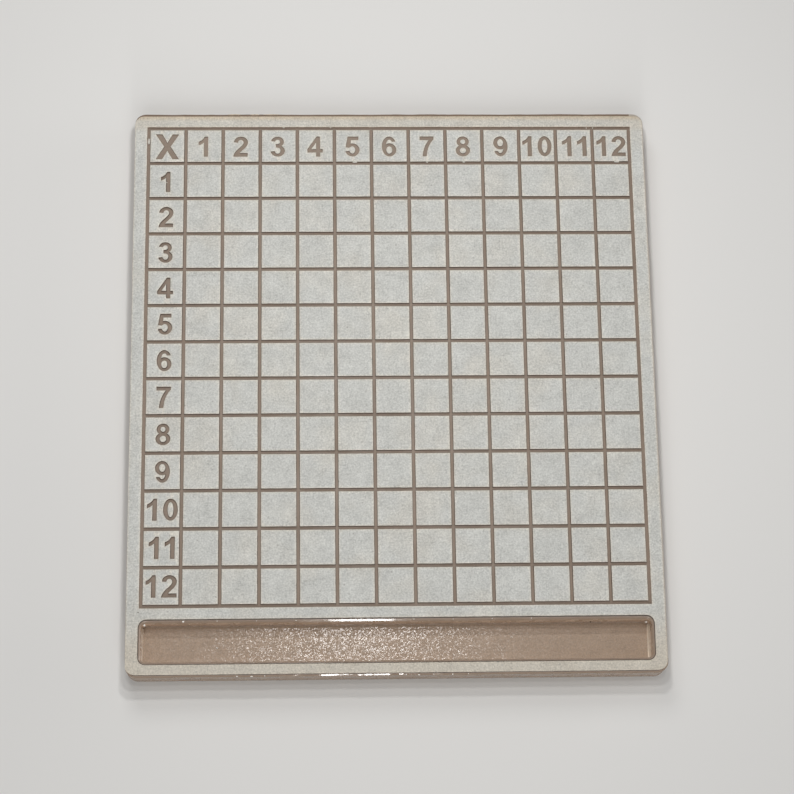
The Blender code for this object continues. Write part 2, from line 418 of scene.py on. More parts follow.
class Graph:
    """Adds nodes to a tree and links them."""

    def __init__(self, tree: bpy.types.NodeTree) -> None:
        """Start on a tree."""
        self.tree = tree

    def add(self, kind: str, inputs: dict | None = None, **settings: Any) -> bpy.types.Node:
        """Add a node.

        Args:
            kind: the node's type.
            inputs: values or sockets for its inputs, by name or number.
            settings: values for its own properties.

        Returns:
            The node.
        """
        node = self.tree.nodes.new(kind)
        for name, value in settings.items():
            setattr(node, name, value)
        for name, value in (inputs or {}).items():
            self.feed(node.inputs[name], value)
        return node

    def feed(self, socket: bpy.types.NodeSocket, value: Any) -> None:
        """Link a socket to an input, or set the input's value.

        Args:
            socket: the input.
            value: a socket, a number, a vector or a colour.
        """
        if isinstance(value, bpy.types.NodeSocket):
            self.tree.links.new(value, socket)
        elif isinstance(value, tuple) and len(value) == 3 and socket.type == "RGBA":
            socket.default_value = (*value, 1.0)
        else:
            socket.default_value = value

    def math(self, operation: str, *values: Any) -> bpy.types.NodeSocket:
        """Add a Math node and give its result."""
        return self.add("ShaderNodeMath", dict(enumerate(values)), operation=operation).outputs[0]

    def about_middle(self, value: Any, depth: Any) -> bpy.types.NodeSocket:
        """Make a value that swings about one half swing about nought, by a depth."""
        return self.math("MULTIPLY", self.math("SUBTRACT", value, 0.5), depth)

    def vector(self, operation: str, *values: Any) -> bpy.types.NodeSocket:
        """Add a Vector Math node and give its vector."""
        return self.add("ShaderNodeVectorMath", dict(enumerate(values)), operation=operation).outputs[0]

    def ramp(self, value: Any, low: float, high: float, bottom: float = 0.0,
             top: float = 1.0) -> bpy.types.NodeSocket:
        """Add a smooth Map Range node and give its result."""
        inputs = {"Value": value, "From Min": low, "From Max": high, "To Min": bottom, "To Max": top}
        return self.add("ShaderNodeMapRange", inputs, interpolation_type="SMOOTHSTEP").outputs["Result"]

    def mix(self, factor: Any, first: Any, second: Any, blend: str = "MIX") -> bpy.types.NodeSocket:
        """Add a colour Mix node.

        Args:
            factor: share of the second colour.
            first: first colour.
            second: second colour.
            blend: how the second colour acts on the first.

        Returns:
            The mixed colour's socket.
        """
        node = self.add("ShaderNodeMix", {"Factor": factor}, data_type="RGBA", blend_type=blend)
        colours = [socket for socket in node.inputs if socket.type == "RGBA"]
        self.feed(colours[0], first)
        self.feed(colours[1], second)
        return next(socket for socket in node.outputs if socket.type == "RGBA")

    def noise(self, place: Any, kind: NoiseKind) -> bpy.types.NodeSocket:
        """Add a Noise Texture with a scale, a detail and a roughness, and give its value."""
        inputs = {"Vector": place, "Scale": kind[0], "Detail": kind[1], "Roughness": kind[2]}
        return self.add("ShaderNodeTexNoise", inputs).outputs["Fac"]

    def cells(self, place: Any, scale: float) -> bpy.types.Node:
        """Add a Voronoi Texture and give the node."""
        return self.add("ShaderNodeTexVoronoi", {"Vector": place, "Scale": scale})

    def place(self, stretch: Place = (1.0, 1.0, 1.0), turn: float = 0.0) -> bpy.types.NodeSocket:
        """Give the object's own coordinates, turned about Z and stretched.

        Args:
            stretch: factors along the three axes.
            turn: angle in degrees.

        Returns:
            The coordinates' socket.
        """
        coordinates = self.add("ShaderNodeTexCoord").outputs["Object"]
        if turn == 0.0 and stretch == (1.0, 1.0, 1.0):
            return coordinates
        inputs = {"Vector": coordinates, "Rotation": (0.0, 0.0, math.radians(turn)), "Scale": stretch}
        return self.add("ShaderNodeMapping", inputs).outputs["Vector"]


class Group(Enum):
    """The shared effects."""

    PAPER_FIBRES = "paper_fibres"
    CUT_STREAKS = "cut_streaks"


def new_group(group: Group, given: str, *outputs: str) -> tuple[Graph, bpy.types.NodeSocket, dict]:
    """Start a shader node group of values.

    Args:
        group: which effect it is.
        given: name of its input, which is one where a material sets nothing else.
        outputs: names of its outputs.

    Returns:
        The graph, the socket that carries the input in, and the sockets that take the outputs, by name.
    """
    tree = bpy.data.node_groups.new(group.value, "ShaderNodeTree")
    tree.interface.new_socket(given, in_out="INPUT", socket_type="NodeSocketFloat").default_value = 1.0
    for name in outputs:
        tree.interface.new_socket(name, in_out="OUTPUT", socket_type="NodeSocketFloat")
    graph = Graph(tree)
    entry, leave = graph.add("NodeGroupInput"), graph.add("NodeGroupOutput")
    return graph, entry.outputs[given], {name: leave.inputs[name] for name in outputs}


@dataclass(frozen=True)
class PaperFibres:
    """The effect of mottled paper: a shade about one, a mask of specks and a height.

    A noise is given by its scale, its detail and its roughness, and a band by the values between which a
    mask fades.
    """

    mottle: NoiseKind = (1350.0, 3.0, 0.65)
    mottle_depth: float = 0.52
    cloud: NoiseKind = (200.0, 2.0, 0.5)
    cloud_depth: float = 0.17
    strand: NoiseKind = (1.0, 1.0, 0.5)
    strand_stretches: tuple[Place, Place] = ((340.0, 2300.0, 600.0), (2300.0, 340.0, 600.0))
    strand_turns: Point = (24.0, -17.0)
    strand_band: Point = (0.58, 0.78)
    strand_mean: float = 0.25
    strand_depth: float = 0.07
    strand_height: float = 0.4
    speck_scale: float = 520.0
    speck_band: Point = (0.12, 0.26)
    speck_chance: float = 0.9

    def build(self) -> None:
        """Build the node group."""
        graph, contrast, out = new_group(Group.PAPER_FIBRES, "Contrast", "Shade", "Specks", "Height")
        mottle, cloud = graph.noise(graph.place(), self.mottle), graph.noise(graph.place(), self.cloud)
        strands = self.strands(graph)
        total = graph.math("ADD", graph.about_middle(mottle, self.mottle_depth),
                           graph.about_middle(cloud, self.cloud_depth))
        darker = graph.math("MULTIPLY", graph.math("SUBTRACT", strands, self.strand_mean), self.strand_depth)
        total = graph.math("SUBTRACT", total, darker)
        graph.feed(out["Shade"], graph.math("ADD", graph.math("MULTIPLY", total, contrast), 1.0))
        dots = graph.cells(graph.place(), self.speck_scale)
        chance = graph.add("ShaderNodeSeparateColor", {"Color": dots.outputs["Color"]}).outputs["Red"]
        near = graph.ramp(dots.outputs["Distance"], *self.speck_band, 1.0, 0.0)
        chosen = graph.math("GREATER_THAN", chance, self.speck_chance)
        graph.feed(out["Specks"], graph.math("MULTIPLY", near, chosen))
        raised = graph.math("MULTIPLY", strands, self.strand_height)
        graph.feed(out["Height"], graph.math("ADD", mottle, raised))

    def strands(self, graph: Graph) -> bpy.types.NodeSocket:
        """Lay long fibres in two directions.

        Args:
            graph: the group's graph.

        Returns:
            A mask of the fibres.
        """
        masks = []
        for stretch, turn in zip(self.strand_stretches, self.strand_turns):
            fibres = graph.noise(graph.place(stretch, turn), self.strand)
            masks.append(graph.ramp(fibres, *self.strand_band))
        return graph.math("ADD", *masks)


@dataclass(frozen=True)
class CutStreaks:
    """The effect of a cut and polished sheet: streaks, blotches and a height.

    The streaks run upright and level. A noise is given by its scale, its detail and its roughness.
    """

    upright: NoiseKind = (1.0, 3.0, 0.6)
    upright_stretch: Place = (900.0, 900.0, 60.0)
    level: NoiseKind = (1.0, 2.0, 0.5)
    level_stretch: Place = (45.0, 45.0, 2600.0)
    blotch: NoiseKind = (130.0, 3.0, 0.6)
    blotch_band: Point = (0.35, 0.7)

    def build(self) -> None:
        """Build the node group."""
        graph, amount, out = new_group(Group.CUT_STREAKS, "Amount", "Streaks", "Blotches", "Height")
        upright = graph.noise(graph.place(self.upright_stretch), self.upright)
        level = graph.noise(graph.place(self.level_stretch), self.level)
        blotches = graph.noise(graph.place(), self.blotch)
        streaks = graph.math("ADD", graph.math("MULTIPLY", upright, 0.5), graph.math("MULTIPLY", level, 0.5))
        graph.feed(out["Streaks"], graph.about_middle(streaks, amount))
        graph.feed(out["Blotches"], graph.ramp(blotches, *self.blotch_band))
        graph.feed(out["Height"], graph.math("ADD", streaks, graph.math("MULTIPLY", blotches, 0.5)))


# Finishes


def start_material(name: str) -> tuple[bpy.types.Material, Graph, bpy.types.Node]:
    """Start a material.

    Args:
        name: name of the material.

    Returns:
        The material, its graph and its Principled BSDF.
    """
    material = bpy.data.materials.new(name)
    material.use_nodes = True
    return material, Graph(material.node_tree), material.node_tree.nodes["Principled BSDF"]


def use_group(graph: Graph, group: Group, value: float) -> bpy.types.NodeOutputs:
    """Place a shared effect in a material with its own value.

    Args:
        graph: the material's graph.
        group: the effect.
        value: value of its one input.

    Returns:
        The effect's outputs, by name.
    """
    node = graph.add("ShaderNodeGroup", node_tree=bpy.data.node_groups[group.value])
    node.inputs[0].default_value = value
    return node.outputs


def shaded(graph: Graph, colour: Any, shade: bpy.types.NodeSocket) -> bpy.types.NodeSocket:
    """Multiply a colour by a shade."""
    grey = graph.add("ShaderNodeCombineColor", {"Red": shade, "Green": shade, "Blue": shade}).outputs[0]
    return graph.mix(1.0, colour, grey, "MULTIPLY")


def bump(graph: Graph, height: bpy.types.NodeSocket, distance: float) -> bpy.types.NodeSocket:
    """Turn a height into a normal."""
    return graph.add("ShaderNodeBump", {"Height": height, "Distance": distance}).outputs["Normal"]


@dataclass(frozen=True)
class PaperFinish:
    """Matt mottled paper, warm along its cut edges and back edge, with painted shade at the front edge.

    Each strip, warm or shaded, starts at a place along Y, grows over its reach and then has its full share.
    """

    name: str
    middle: Colour = (0.528, 0.528, 0.500)
    edge: Colour = (0.640, 0.600, 0.525)
    patch: Colour = (0.585, 0.545, 0.470)
    end: Colour = (0.535, 0.455, 0.35)
    speck: Colour = (0.34, 0.325, 0.30)
    edge_share: float = 0.7
    edge_falloff: float = 3.0
    patches: NoiseKind = (55.0, 2.0, 0.5)
    patch_band: Point = (0.42, 0.75)
    patch_share: float = 0.35
    speck_share: float = 0.55
    warm_back: float = 0.112
    warm_reach: float = 0.003
    warm_share: float = 0.3
    brown_back: float = 0.1172
    brown_reach: float = 0.0023
    brown_share: float = 0.7
    # Painted shade along the front edge: where it starts, how far it grows and its share.
    warm_front: float = -0.093
    front_reach: float = 0.018
    front_share: float = 0.5
    contrast: float = 2.0
    rough_band: Point = (0.2, 1.0)
    dull: float = 0.88
    satin: float = 0.7
    relief: float = 0.00006
    gloss: float = 0.3

    def ends(self, graph: Graph) -> bpy.types.NodeSocket:
        """Mask the warm strips along the back edge and the painted shade along the front edge.

        Args:
            graph: the material's graph.

        Returns:
            The mask.
        """
        far = graph.add("ShaderNodeSeparateXYZ", {"Vector": graph.place()}).outputs["Y"]
        warm = graph.ramp(far, self.warm_back, self.warm_back + self.warm_reach, 0.0, self.warm_share)
        brown = graph.ramp(far, self.brown_back, self.brown_back + self.brown_reach, 0.0, self.brown_share)
        # Painted shade: towards the front edge the paper is mixed with the darker end colour.
        front = graph.ramp(far, self.warm_front - self.front_reach, self.warm_front, self.front_share, 0.0)
        return graph.math("ADD", graph.math("ADD", warm, brown), front)

    def build(self) -> bpy.types.Material:
        """Build the material.

        Returns:
            The material.
        """
        material, graph, shader = start_material(self.name)
        fibres = use_group(graph, Group.PAPER_FIBRES, self.contrast)
        rim = graph.add("ShaderNodeAttribute", attribute_name=RIM).outputs["Fac"]
        broad = graph.noise(graph.place(), self.patches)
        patches = graph.ramp(broad, *self.patch_band, 0.0, self.patch_share)
        close = graph.math("MULTIPLY", graph.math("POWER", rim, self.edge_falloff), self.edge_share)
        colour = graph.mix(close, graph.mix(patches, self.middle, self.patch), self.edge)
        colour = graph.mix(self.ends(graph), colour, self.end)
        specks = graph.math("MULTIPLY", fibres["Specks"], self.speck_share)
        colour = graph.mix(specks, colour, self.speck)
        graph.feed(shader.inputs["Base Color"], shaded(graph, colour, fibres["Shade"]))
        roughness = graph.ramp(fibres["Height"], *self.rough_band, self.dull, self.satin)
        graph.feed(shader.inputs["Roughness"], roughness)
        graph.feed(shader.inputs["Normal"], bump(graph, fibres["Height"], self.relief))
        shader.inputs["Specular IOR Level"].default_value = self.gloss
        return material


@dataclass(frozen=True)
class SheetFinish:
    """Brown sheet with cutting streaks and faint blotches, from shiny to dull."""

    name: str
    colour: Colour = (0.315, 0.23, 0.168)
    pale: Colour = (0.36, 0.275, 0.21)
    shiny: float = 0.16
    dull: float = 0.38
    gloss: float = 0.5
    relief: float = 0.00002
    streaks: float = 0.7
    pale_share: float = 0.35

    def build(self) -> bpy.types.Material:
        """Build the material.

        Returns:
            The material.
        """
        material, graph, shader = start_material(self.name)
        cut = use_group(graph, Group.CUT_STREAKS, self.streaks)
        colour = graph.mix(graph.math("MULTIPLY", cut["Blotches"], self.pale_share), self.colour, self.pale)
        shade = graph.math("ADD", cut["Streaks"], 1.0)
        graph.feed(shader.inputs["Base Color"], shaded(graph, colour, shade))
        graph.feed(shader.inputs["Roughness"], graph.ramp(cut["Blotches"], 0.0, 1.0, self.shiny, self.dull))
        graph.feed(shader.inputs["Normal"], bump(graph, cut["Height"], self.relief))
        shader.inputs["Specular IOR Level"].default_value = self.gloss
        return material


@dataclass(frozen=True)
class TrayFloorFinish:
    """Satin floor of tiny facets, some of which glitter under the lamp."""

    name: str
    colour: Colour = (0.364, 0.273, 0.2)
    pale: Colour = (0.513, 0.383, 0.281)
    pale_share: float = 0.7
    contrast: float = 1.2
    tilt: float = 0.041
    glitter_band: Point = (0.5, 0.75)
    satin: float = 0.55
    glitter: float = 0.18
    gloss: float = 0.52
    fine_scale: float = 2500.0
    coarse_scale: float = 1800.0

    def facets(self, graph: Graph) -> tuple[bpy.types.NodeSocket, bpy.types.NodeSocket]:
        """Tilt the surface from grain to grain.

        Args:
            graph: the material's graph.

        Returns:
            The tilted normal, and a value that differs from grain to grain.
        """
        normal = graph.add("ShaderNodeNewGeometry").outputs["Normal"]
        fine = graph.cells(graph.place(), self.fine_scale).outputs["Color"]
        coarse = graph.cells(graph.place(), self.coarse_scale).outputs["Color"]
        both = graph.vector("SUBTRACT", graph.vector("ADD", fine, coarse), (1.0, 1.0, 1.0))
        tilted = graph.vector("ADD", normal, graph.vector("MULTIPLY", both, (self.tilt, self.tilt, 0.0)))
        grain = graph.add("ShaderNodeSeparateColor", {"Color": fine}).outputs["Blue"]
        return graph.vector("NORMALIZE", tilted), grain

    def build(self) -> bpy.types.Material:
        """Build the material.

        Returns:
            The material.
        """
        material, graph, shader = start_material(self.name)
        normal, grain = self.facets(graph)
        fibres = use_group(graph, Group.PAPER_FIBRES, self.contrast)
        colour = graph.mix(graph.math("MULTIPLY", grain, self.pale_share), self.colour, self.pale)
        graph.feed(shader.inputs["Base Color"], shaded(graph, colour, fibres["Shade"]))
        roughness = graph.ramp(grain, *self.glitter_band, self.satin, self.glitter)
        graph.feed(shader.inputs["Roughness"], roughness)
        graph.feed(shader.inputs["Normal"], normal)
        shader.inputs["Specular IOR Level"].default_value = self.gloss
        return material


def seen_directly(graph: Graph) -> bpy.types.NodeSocket:
    """Tell what the camera or a reflection sees from light on its way.

    Args:
        graph: graph of the material or the world.

    Returns:
        One for a ray from the camera or from a reflection, and nought for the rest.
    """
    path = graph.add("ShaderNodeLightPath").outputs
    seen = graph.math("MAXIMUM", path["Is Camera Ray"], path["Is Glossy Ray"])
    return graph.math("MAXIMUM", seen, path["Is Transmission Ray"])


@dataclass(frozen=True)
class StudioFloorFinish:
    """Plain pale floor that fades into the backdrop away from the board."""

    name: str
    backdrop: Colour
    colour: Colour = (0.74, 0.73, 0.71)
    fade_start: float = 0.3
    fade_end: float = 0.75
    cloud: NoiseKind = (3.0, 2.0, 0.5)
    cloud_depth: float = 0.03
    roughness: float = 0.9
    gloss: float = 0.1

    def build(self) -> bpy.types.Material:
        """Build the material.

        Returns:
            The material.
        """
        material, graph, shader = start_material(self.name)
        away = graph.add("ShaderNodeVectorMath", {0: graph.place()}, operation="LENGTH").outputs["Value"]
        faded = graph.math("MULTIPLY", graph.ramp(away, self.fade_start, self.fade_end), seen_directly(graph))
        glow = graph.add("ShaderNodeEmission", {"Color": self.backdrop}).outputs["Emission"]
        both = graph.add("ShaderNodeMixShader", {0: faded, 1: shader.outputs["BSDF"], 2: glow})
        graph.feed(material.node_tree.nodes["Material Output"].inputs["Surface"], both.outputs["Shader"])
        cloud = graph.noise(graph.place(), self.cloud)
        shade = graph.math("ADD", graph.about_middle(cloud, self.cloud_depth), 1.0)
        graph.feed(shader.inputs["Base Color"], shaded(graph, self.colour, shade))
        shader.inputs["Roughness"].default_value = self.roughness
        shader.inputs["Specular IOR Level"].default_value = self.gloss
        return material


class Look(Enum):
    """The finishes of the board."""

    PAPER = PaperFinish("paper_facing")
    SHEET = SheetFinish("brown_sheet")
    CHAMFER = SheetFinish("polished_chamfer", (0.285, 0.208, 0.152), (0.33, 0.25, 0.19), 0.05, 0.08,
                          relief=0.000002, streaks=0.4)
    GROOVE = SheetFinish("engraved_groove", (0.21, 0.155, 0.114), (0.25, 0.193, 0.149), 0.5, 0.65)
    NUMERAL = SheetFinish("engraved_numeral", (0.228, 0.172, 0.127), (0.272, 0.212, 0.164), 0.5, 0.65)
    FLANK = SheetFinish("scorched_flank", (0.125, 0.088, 0.062), (0.15, 0.108, 0.078), 0.5, 0.65)
    # Dark finish: scorch of the cut, and on the strip under the paper's edge also painted shade.
    SCORCH = SheetFinish("scorched_strip", (0.07, 0.049, 0.035), (0.1, 0.07, 0.05), 0.5, 0.65)
    TRAY_FLOOR = TrayFloorFinish("tray_floor")
    # Painted light: a pale copy of the chamfer's brown, for the sides that catch light.
    WORN = SheetFinish("chamfer_painted_light", (0.41, 0.355, 0.295), (0.46, 0.41, 0.35), 0.25, 0.4)
    # Painted light: the tray's walls get a lighter copy of the sheet's brown, for light that they catch.
    TRAY_WALL = SheetFinish("tray_wall", (0.485, 0.359, 0.262), (0.545, 0.418, 0.316))
    CHAR = SheetFinish("charred_chamfer", (0.17, 0.112, 0.074), (0.2, 0.138, 0.096), 0.5, 0.65)
    GLUE = SheetFinish("glue_bead", (0.3, 0.222, 0.165), (0.33, 0.25, 0.19), 0.12, 0.25)
    # Painted light: a near-white film that stands in for light on the tray's end walls.
    GLUE_FILM = SheetFinish("painted_light_film", (0.9, 0.8, 0.67), (0.94, 0.86, 0.74), 0.15, 0.3, 0.25)
    # Painted highlight: pale glossy drops that stand in for glints.
    RESIN = SheetFinish("resin_drop", (0.93, 0.9, 0.85), (0.95, 0.93, 0.9), 0.05, 0.1, streaks=0.1)


Finishes = dict[Look, bpy.types.Material]


def build_finishes() -> Finishes:
    """Build the shared effects, then the materials.

    Returns:
        The materials, by look.
    """
    PaperFibres().build()
    CutStreaks().build()
    return {look: look.value.build() for look in Look}


# Meshes


@dataclass(frozen=True)
class Ring:
    """One level of an edge: how far in and how high it lies, and the look of the band above it."""

    inset: float
    height: float
    look: Look | None = None


def soft_edge(radius: float, top: float) -> list[Ring]:
    """Rings of a rounded upper edge, from the bottom up."""
    middle = 0.3 * radius
    return [Ring(0.0, top - radius), Ring(middle, top - middle), Ring(radius, top)]


def eased(corners: list[Ring], radius: float) -> list[Ring]:
    """Round the inner corners of an edge's profile.

    Args:
        corners: the profile from the bottom up.
        radius: about how far the rounding reaches from each corner.

    Returns:
        The profile's rings, with two close rings where each flat stretch begins and ends, so that it
        shades flat.
    """
    straight, outer, inner = math.radians(10.0), 1.4, 0.25
    rings = [corners[0]]
    for before, corner, after in zip(corners, corners[1:], corners[2:]):
        low, here, high = (Vector((ring.inset, ring.height)) for ring in (before, corner, after))
        down, up = (low - here).normalized() * radius, (high - here).normalized() * radius
        if (-down).angle(up) < straight:
            rings.append(corner)
            continue
        rings += [Ring(*(here + outer * down), before.look), Ring(*(here + down), before.look)]
        rings += [Ring(*(here + inner * (down + up)), corner.look)]
        rings += [Ring(*(here + up), corner.look), Ring(*(here + outer * up), corner.look)]
    return [*rings, corners[-1]]


@dataclass(frozen=True)
class SideWidths:
    """How wide a chamfer is along each side, by the way the side faces, as a share of its full width."""

    left: float
    right: float
    front: float
    back: float

    def along(self, outline: Outline) -> np.ndarray:
        """Spread the shares over an outline.

        Args:
            outline: closed outline, with the material on its left.

        Returns:
            The share at each of its points.
        """
        here = np.array(outline)
        run = np.roll(here, -1, axis=0) - np.roll(here, 1, axis=0)
        run /= np.linalg.norm(run, axis=1, keepdims=True)
        faces_x, faces_y = run[:, 1], -run[:, 0]
        sideways = np.where(faces_x > 0, self.right, self.left)
        lengthwise = np.where(faces_y > 0, self.back, self.front)
        return sideways * faces_x ** 2 + lengthwise * faces_y ** 2


@dataclass
class Edge:
    """A closed outline with the material on its left, and its rings from the bottom up.

    The widths stretch the rings at each point, and their depth too where they lie above a given depth.
    """

    outline: Outline
    rings: list[Ring]
    widths: np.ndarray | float = 1.0
    stretched_depth: float = 0.0

    def at(self, index: int) -> list[Place]:
        """Lay out one of the rings.

        Args:
            index: its number from the bottom up.

        Returns:
            Its points.
        """
        ring, top = self.rings[index], self.rings[-1].height
        shares = np.broadcast_to(self.widths, len(self.outline))
        stretched = top - ring.height < self.stretched_depth
        depths = (top - ring.height) * (shares if stretched else np.ones(len(shares)))
        return [(x, y, top - d) for (x, y), d in zip(inset(self.outline, ring.inset * shares), depths)]


@dataclass(frozen=True)
class Surface:
    """An uneven top: the distance between its points, how far the rim mask reaches in, and its depth."""

    spacing: float
    rim_width: float
    relief: float
    wave: float = MILLIMETRE / 0.42
    seed: float = 3.7
    jitter: float = 0.2
    jitter_phases: Point = (7.0, 5.0)
    clearance: float = 0.5

    def inner_points(self, outlines: list[Outline]) -> list[Place]:
        """Spread points over a region.

        Args:
            outlines: the region's outlines.

        Returns:
            Rows of x, y and the distance to the nearest outline.
        """
        edge_points = [point for outline in outlines for point in outline]
        tree = kdtree.KDTree(len(edge_points))
        for i, (x, y) in enumerate(edge_points):
            tree.insert((x, y, 0.0), i)
        tree.balance()
        outer = np.array(outlines[0])
        low, high = outer.min(axis=0), outer.max(axis=0)
        counts = np.maximum(1, np.round((high - low) / self.spacing)).astype(int)
        steps = (high - low) / counts
        rows, columns = self.jitter_phases
        grid = np.array([
            (low[0] + (i + 0.5 + self.jitter * math.sin(rows * j)) * steps[0],
             low[1] + (j + 0.5 + self.jitter * math.sin(columns * i)) * steps[1])
            for i in range(counts[0]) for j in range(counts[1])
        ])
        spread = []
        for x, y in grid[inside(grid, outlines)]:
            distance = tree.find((x, y, 0.0))[2]
            if distance > self.clearance * self.spacing:
                spread.append((float(x), float(y), distance))
        return spread

    def dip(self, x: float, y: float, distance: float) -> float:
        """How far the top lies above its edges at a point, which is never more than nought."""
        lift = self.relief * noise.noise((x / self.wave, y / self.wave, self.seed))
        return min(lift * min(1.0, distance / self.rim_width), 0.0)


@dataclass
class LayerMesh:
    """Closed flat bodies, built ring by ring along their edges and capped at both ends.

    Every face that isn't given another look has the mesh's own. The rim is one at an edge and falls to nought
    inside.
    """

    look: Look
    points: list[Place] = field(default_factory=list)
    faces: list[tuple[int, ...]] = field(default_factory=list)
    looks: list[Look] = field(default_factory=list)
    rim: list[float] = field(default_factory=list)

    def add_face(self, corners: tuple[int, ...], look: Look | None) -> None:
        """Add one face with its look."""
        self.faces.append(corners)
        self.looks.append(look or self.look)

    def add_edge(self, edge: Edge) -> tuple[list[int], list[int]]:
        """Build the bands along an edge.

        Args:
            edge: the outline and its rings.

        Returns:
            The points of the lowest ring and of the highest ring.
        """
        rows: list[list[int]] = []
        for index in range(len(edge.rings)):
            start = len(self.points)
            self.points += edge.at(index)
            self.rim += [1.0] * len(edge.outline)
            rows.append(list(range(start, len(self.points))))
        for ring, low, high in zip(edge.rings, rows, rows[1:]):
            for i in range(len(low)):
                j = (i + 1) % len(low)
                self.add_face((low[i], low[j], high[j], high[i]), ring.look)
        return rows[0], rows[-1]

    def add_cap(self, loops: list[list[int]], look: Look | None, upwards: bool,
                surface: Surface | None = None) -> None:
        """Close one end of a body.

        Args:
            loops: the points of each outline at that end.
            look: look of the cap.
            upwards: whether the cap looks up.
            surface: its unevenness, or None for a flat cap.
        """
        outlines = [[self.points[i][:2] for i in loop] for loop in loops]
        height = self.points[loops[0][0]][2]
        flat = [point for outline in outlines for point in outline]
        known = [i for loop in loops for i in loop]
        ties = []
        for loop in loops:
            start = len(ties)
            ties += [(start + i, start + (i + 1) % len(loop)) for i in range(len(loop))]
        added = surface.inner_points(outlines) if surface else []
        for x, y, distance in added:
            known.append(len(self.points))
            self.points.append((x, y, height + surface.dip(x, y, distance)))
            self.rim.append(max(0.0, 1.0 - distance / surface.rim_width))
            flat.append((x, y))
        spots, _, triangles, origins, _, _ = geometry.delaunay_2d_cdt(
            [Vector(point) for point in flat], ties, [], TRIANGLES_INSIDE, SAME_POINT,
        )
        middles = np.array(spots)[np.array(triangles)].mean(axis=1)
        sources = [known[origin[0]] for origin in origins]
        for a, b, c in np.array(triangles)[inside(middles, outlines)]:
            triangle = (sources[a], sources[b], sources[c])
            self.add_face(triangle if upwards else triangle[::-1], look)

    def add_body(self, edges: list[Edge], top: Look | None = None, bottom: Look | None = None,
                 surface: Surface | None = None) -> None:
        """Add a closed body.

        Args:
            edges: its outer edge, anticlockwise, and its holes' edges, clockwise.
            top: look of the top.
            bottom: look of the underside.
            surface: unevenness of the top, or None for a flat one.
        """
        ends = [self.add_edge(edge) for edge in edges]
        self.add_cap([high for _, high in ends], top, True, surface)
        self.add_cap([low for low, _ in ends], bottom, False)

    def make(self, name: str, finishes: Finishes, slot: Slot, *nodes: str) -> None:
        """Turn the bodies into a piece that rides on the board.

        Args:
            name: name of the piece.
            finishes: the materials.
            slot: slot of the record for the piece's finish; not used.
            nodes: CAD nodes that the piece stands for.
        """
        mesh = bpy.data.meshes.new(name)
        mesh.from_pydata(self.points, [], self.faces)
        used = list(dict.fromkeys(self.looks))
        mesh.polygons.foreach_set("material_index", [used.index(look) for look in self.looks])
        mesh.attributes.new(RIM, "FLOAT", "POINT").data.foreach_set("value", self.rim)
        for look in used:
            mesh.materials.append(finishes[look])
        mesh.shade_smooth()
        mesh.set_sharp_from_angle(angle=SHARP_ANGLE)
        mesh.update()
        piece = bpy.data.objects.new(name, mesh)
        bpy.context.scene.collection.objects.link(piece)
        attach(piece, BODY)
        if nodes:
            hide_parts(*nodes)
        LOG.info("%s: %d points, %d faces", name, len(self.points), len(self.faces))


# Numerals


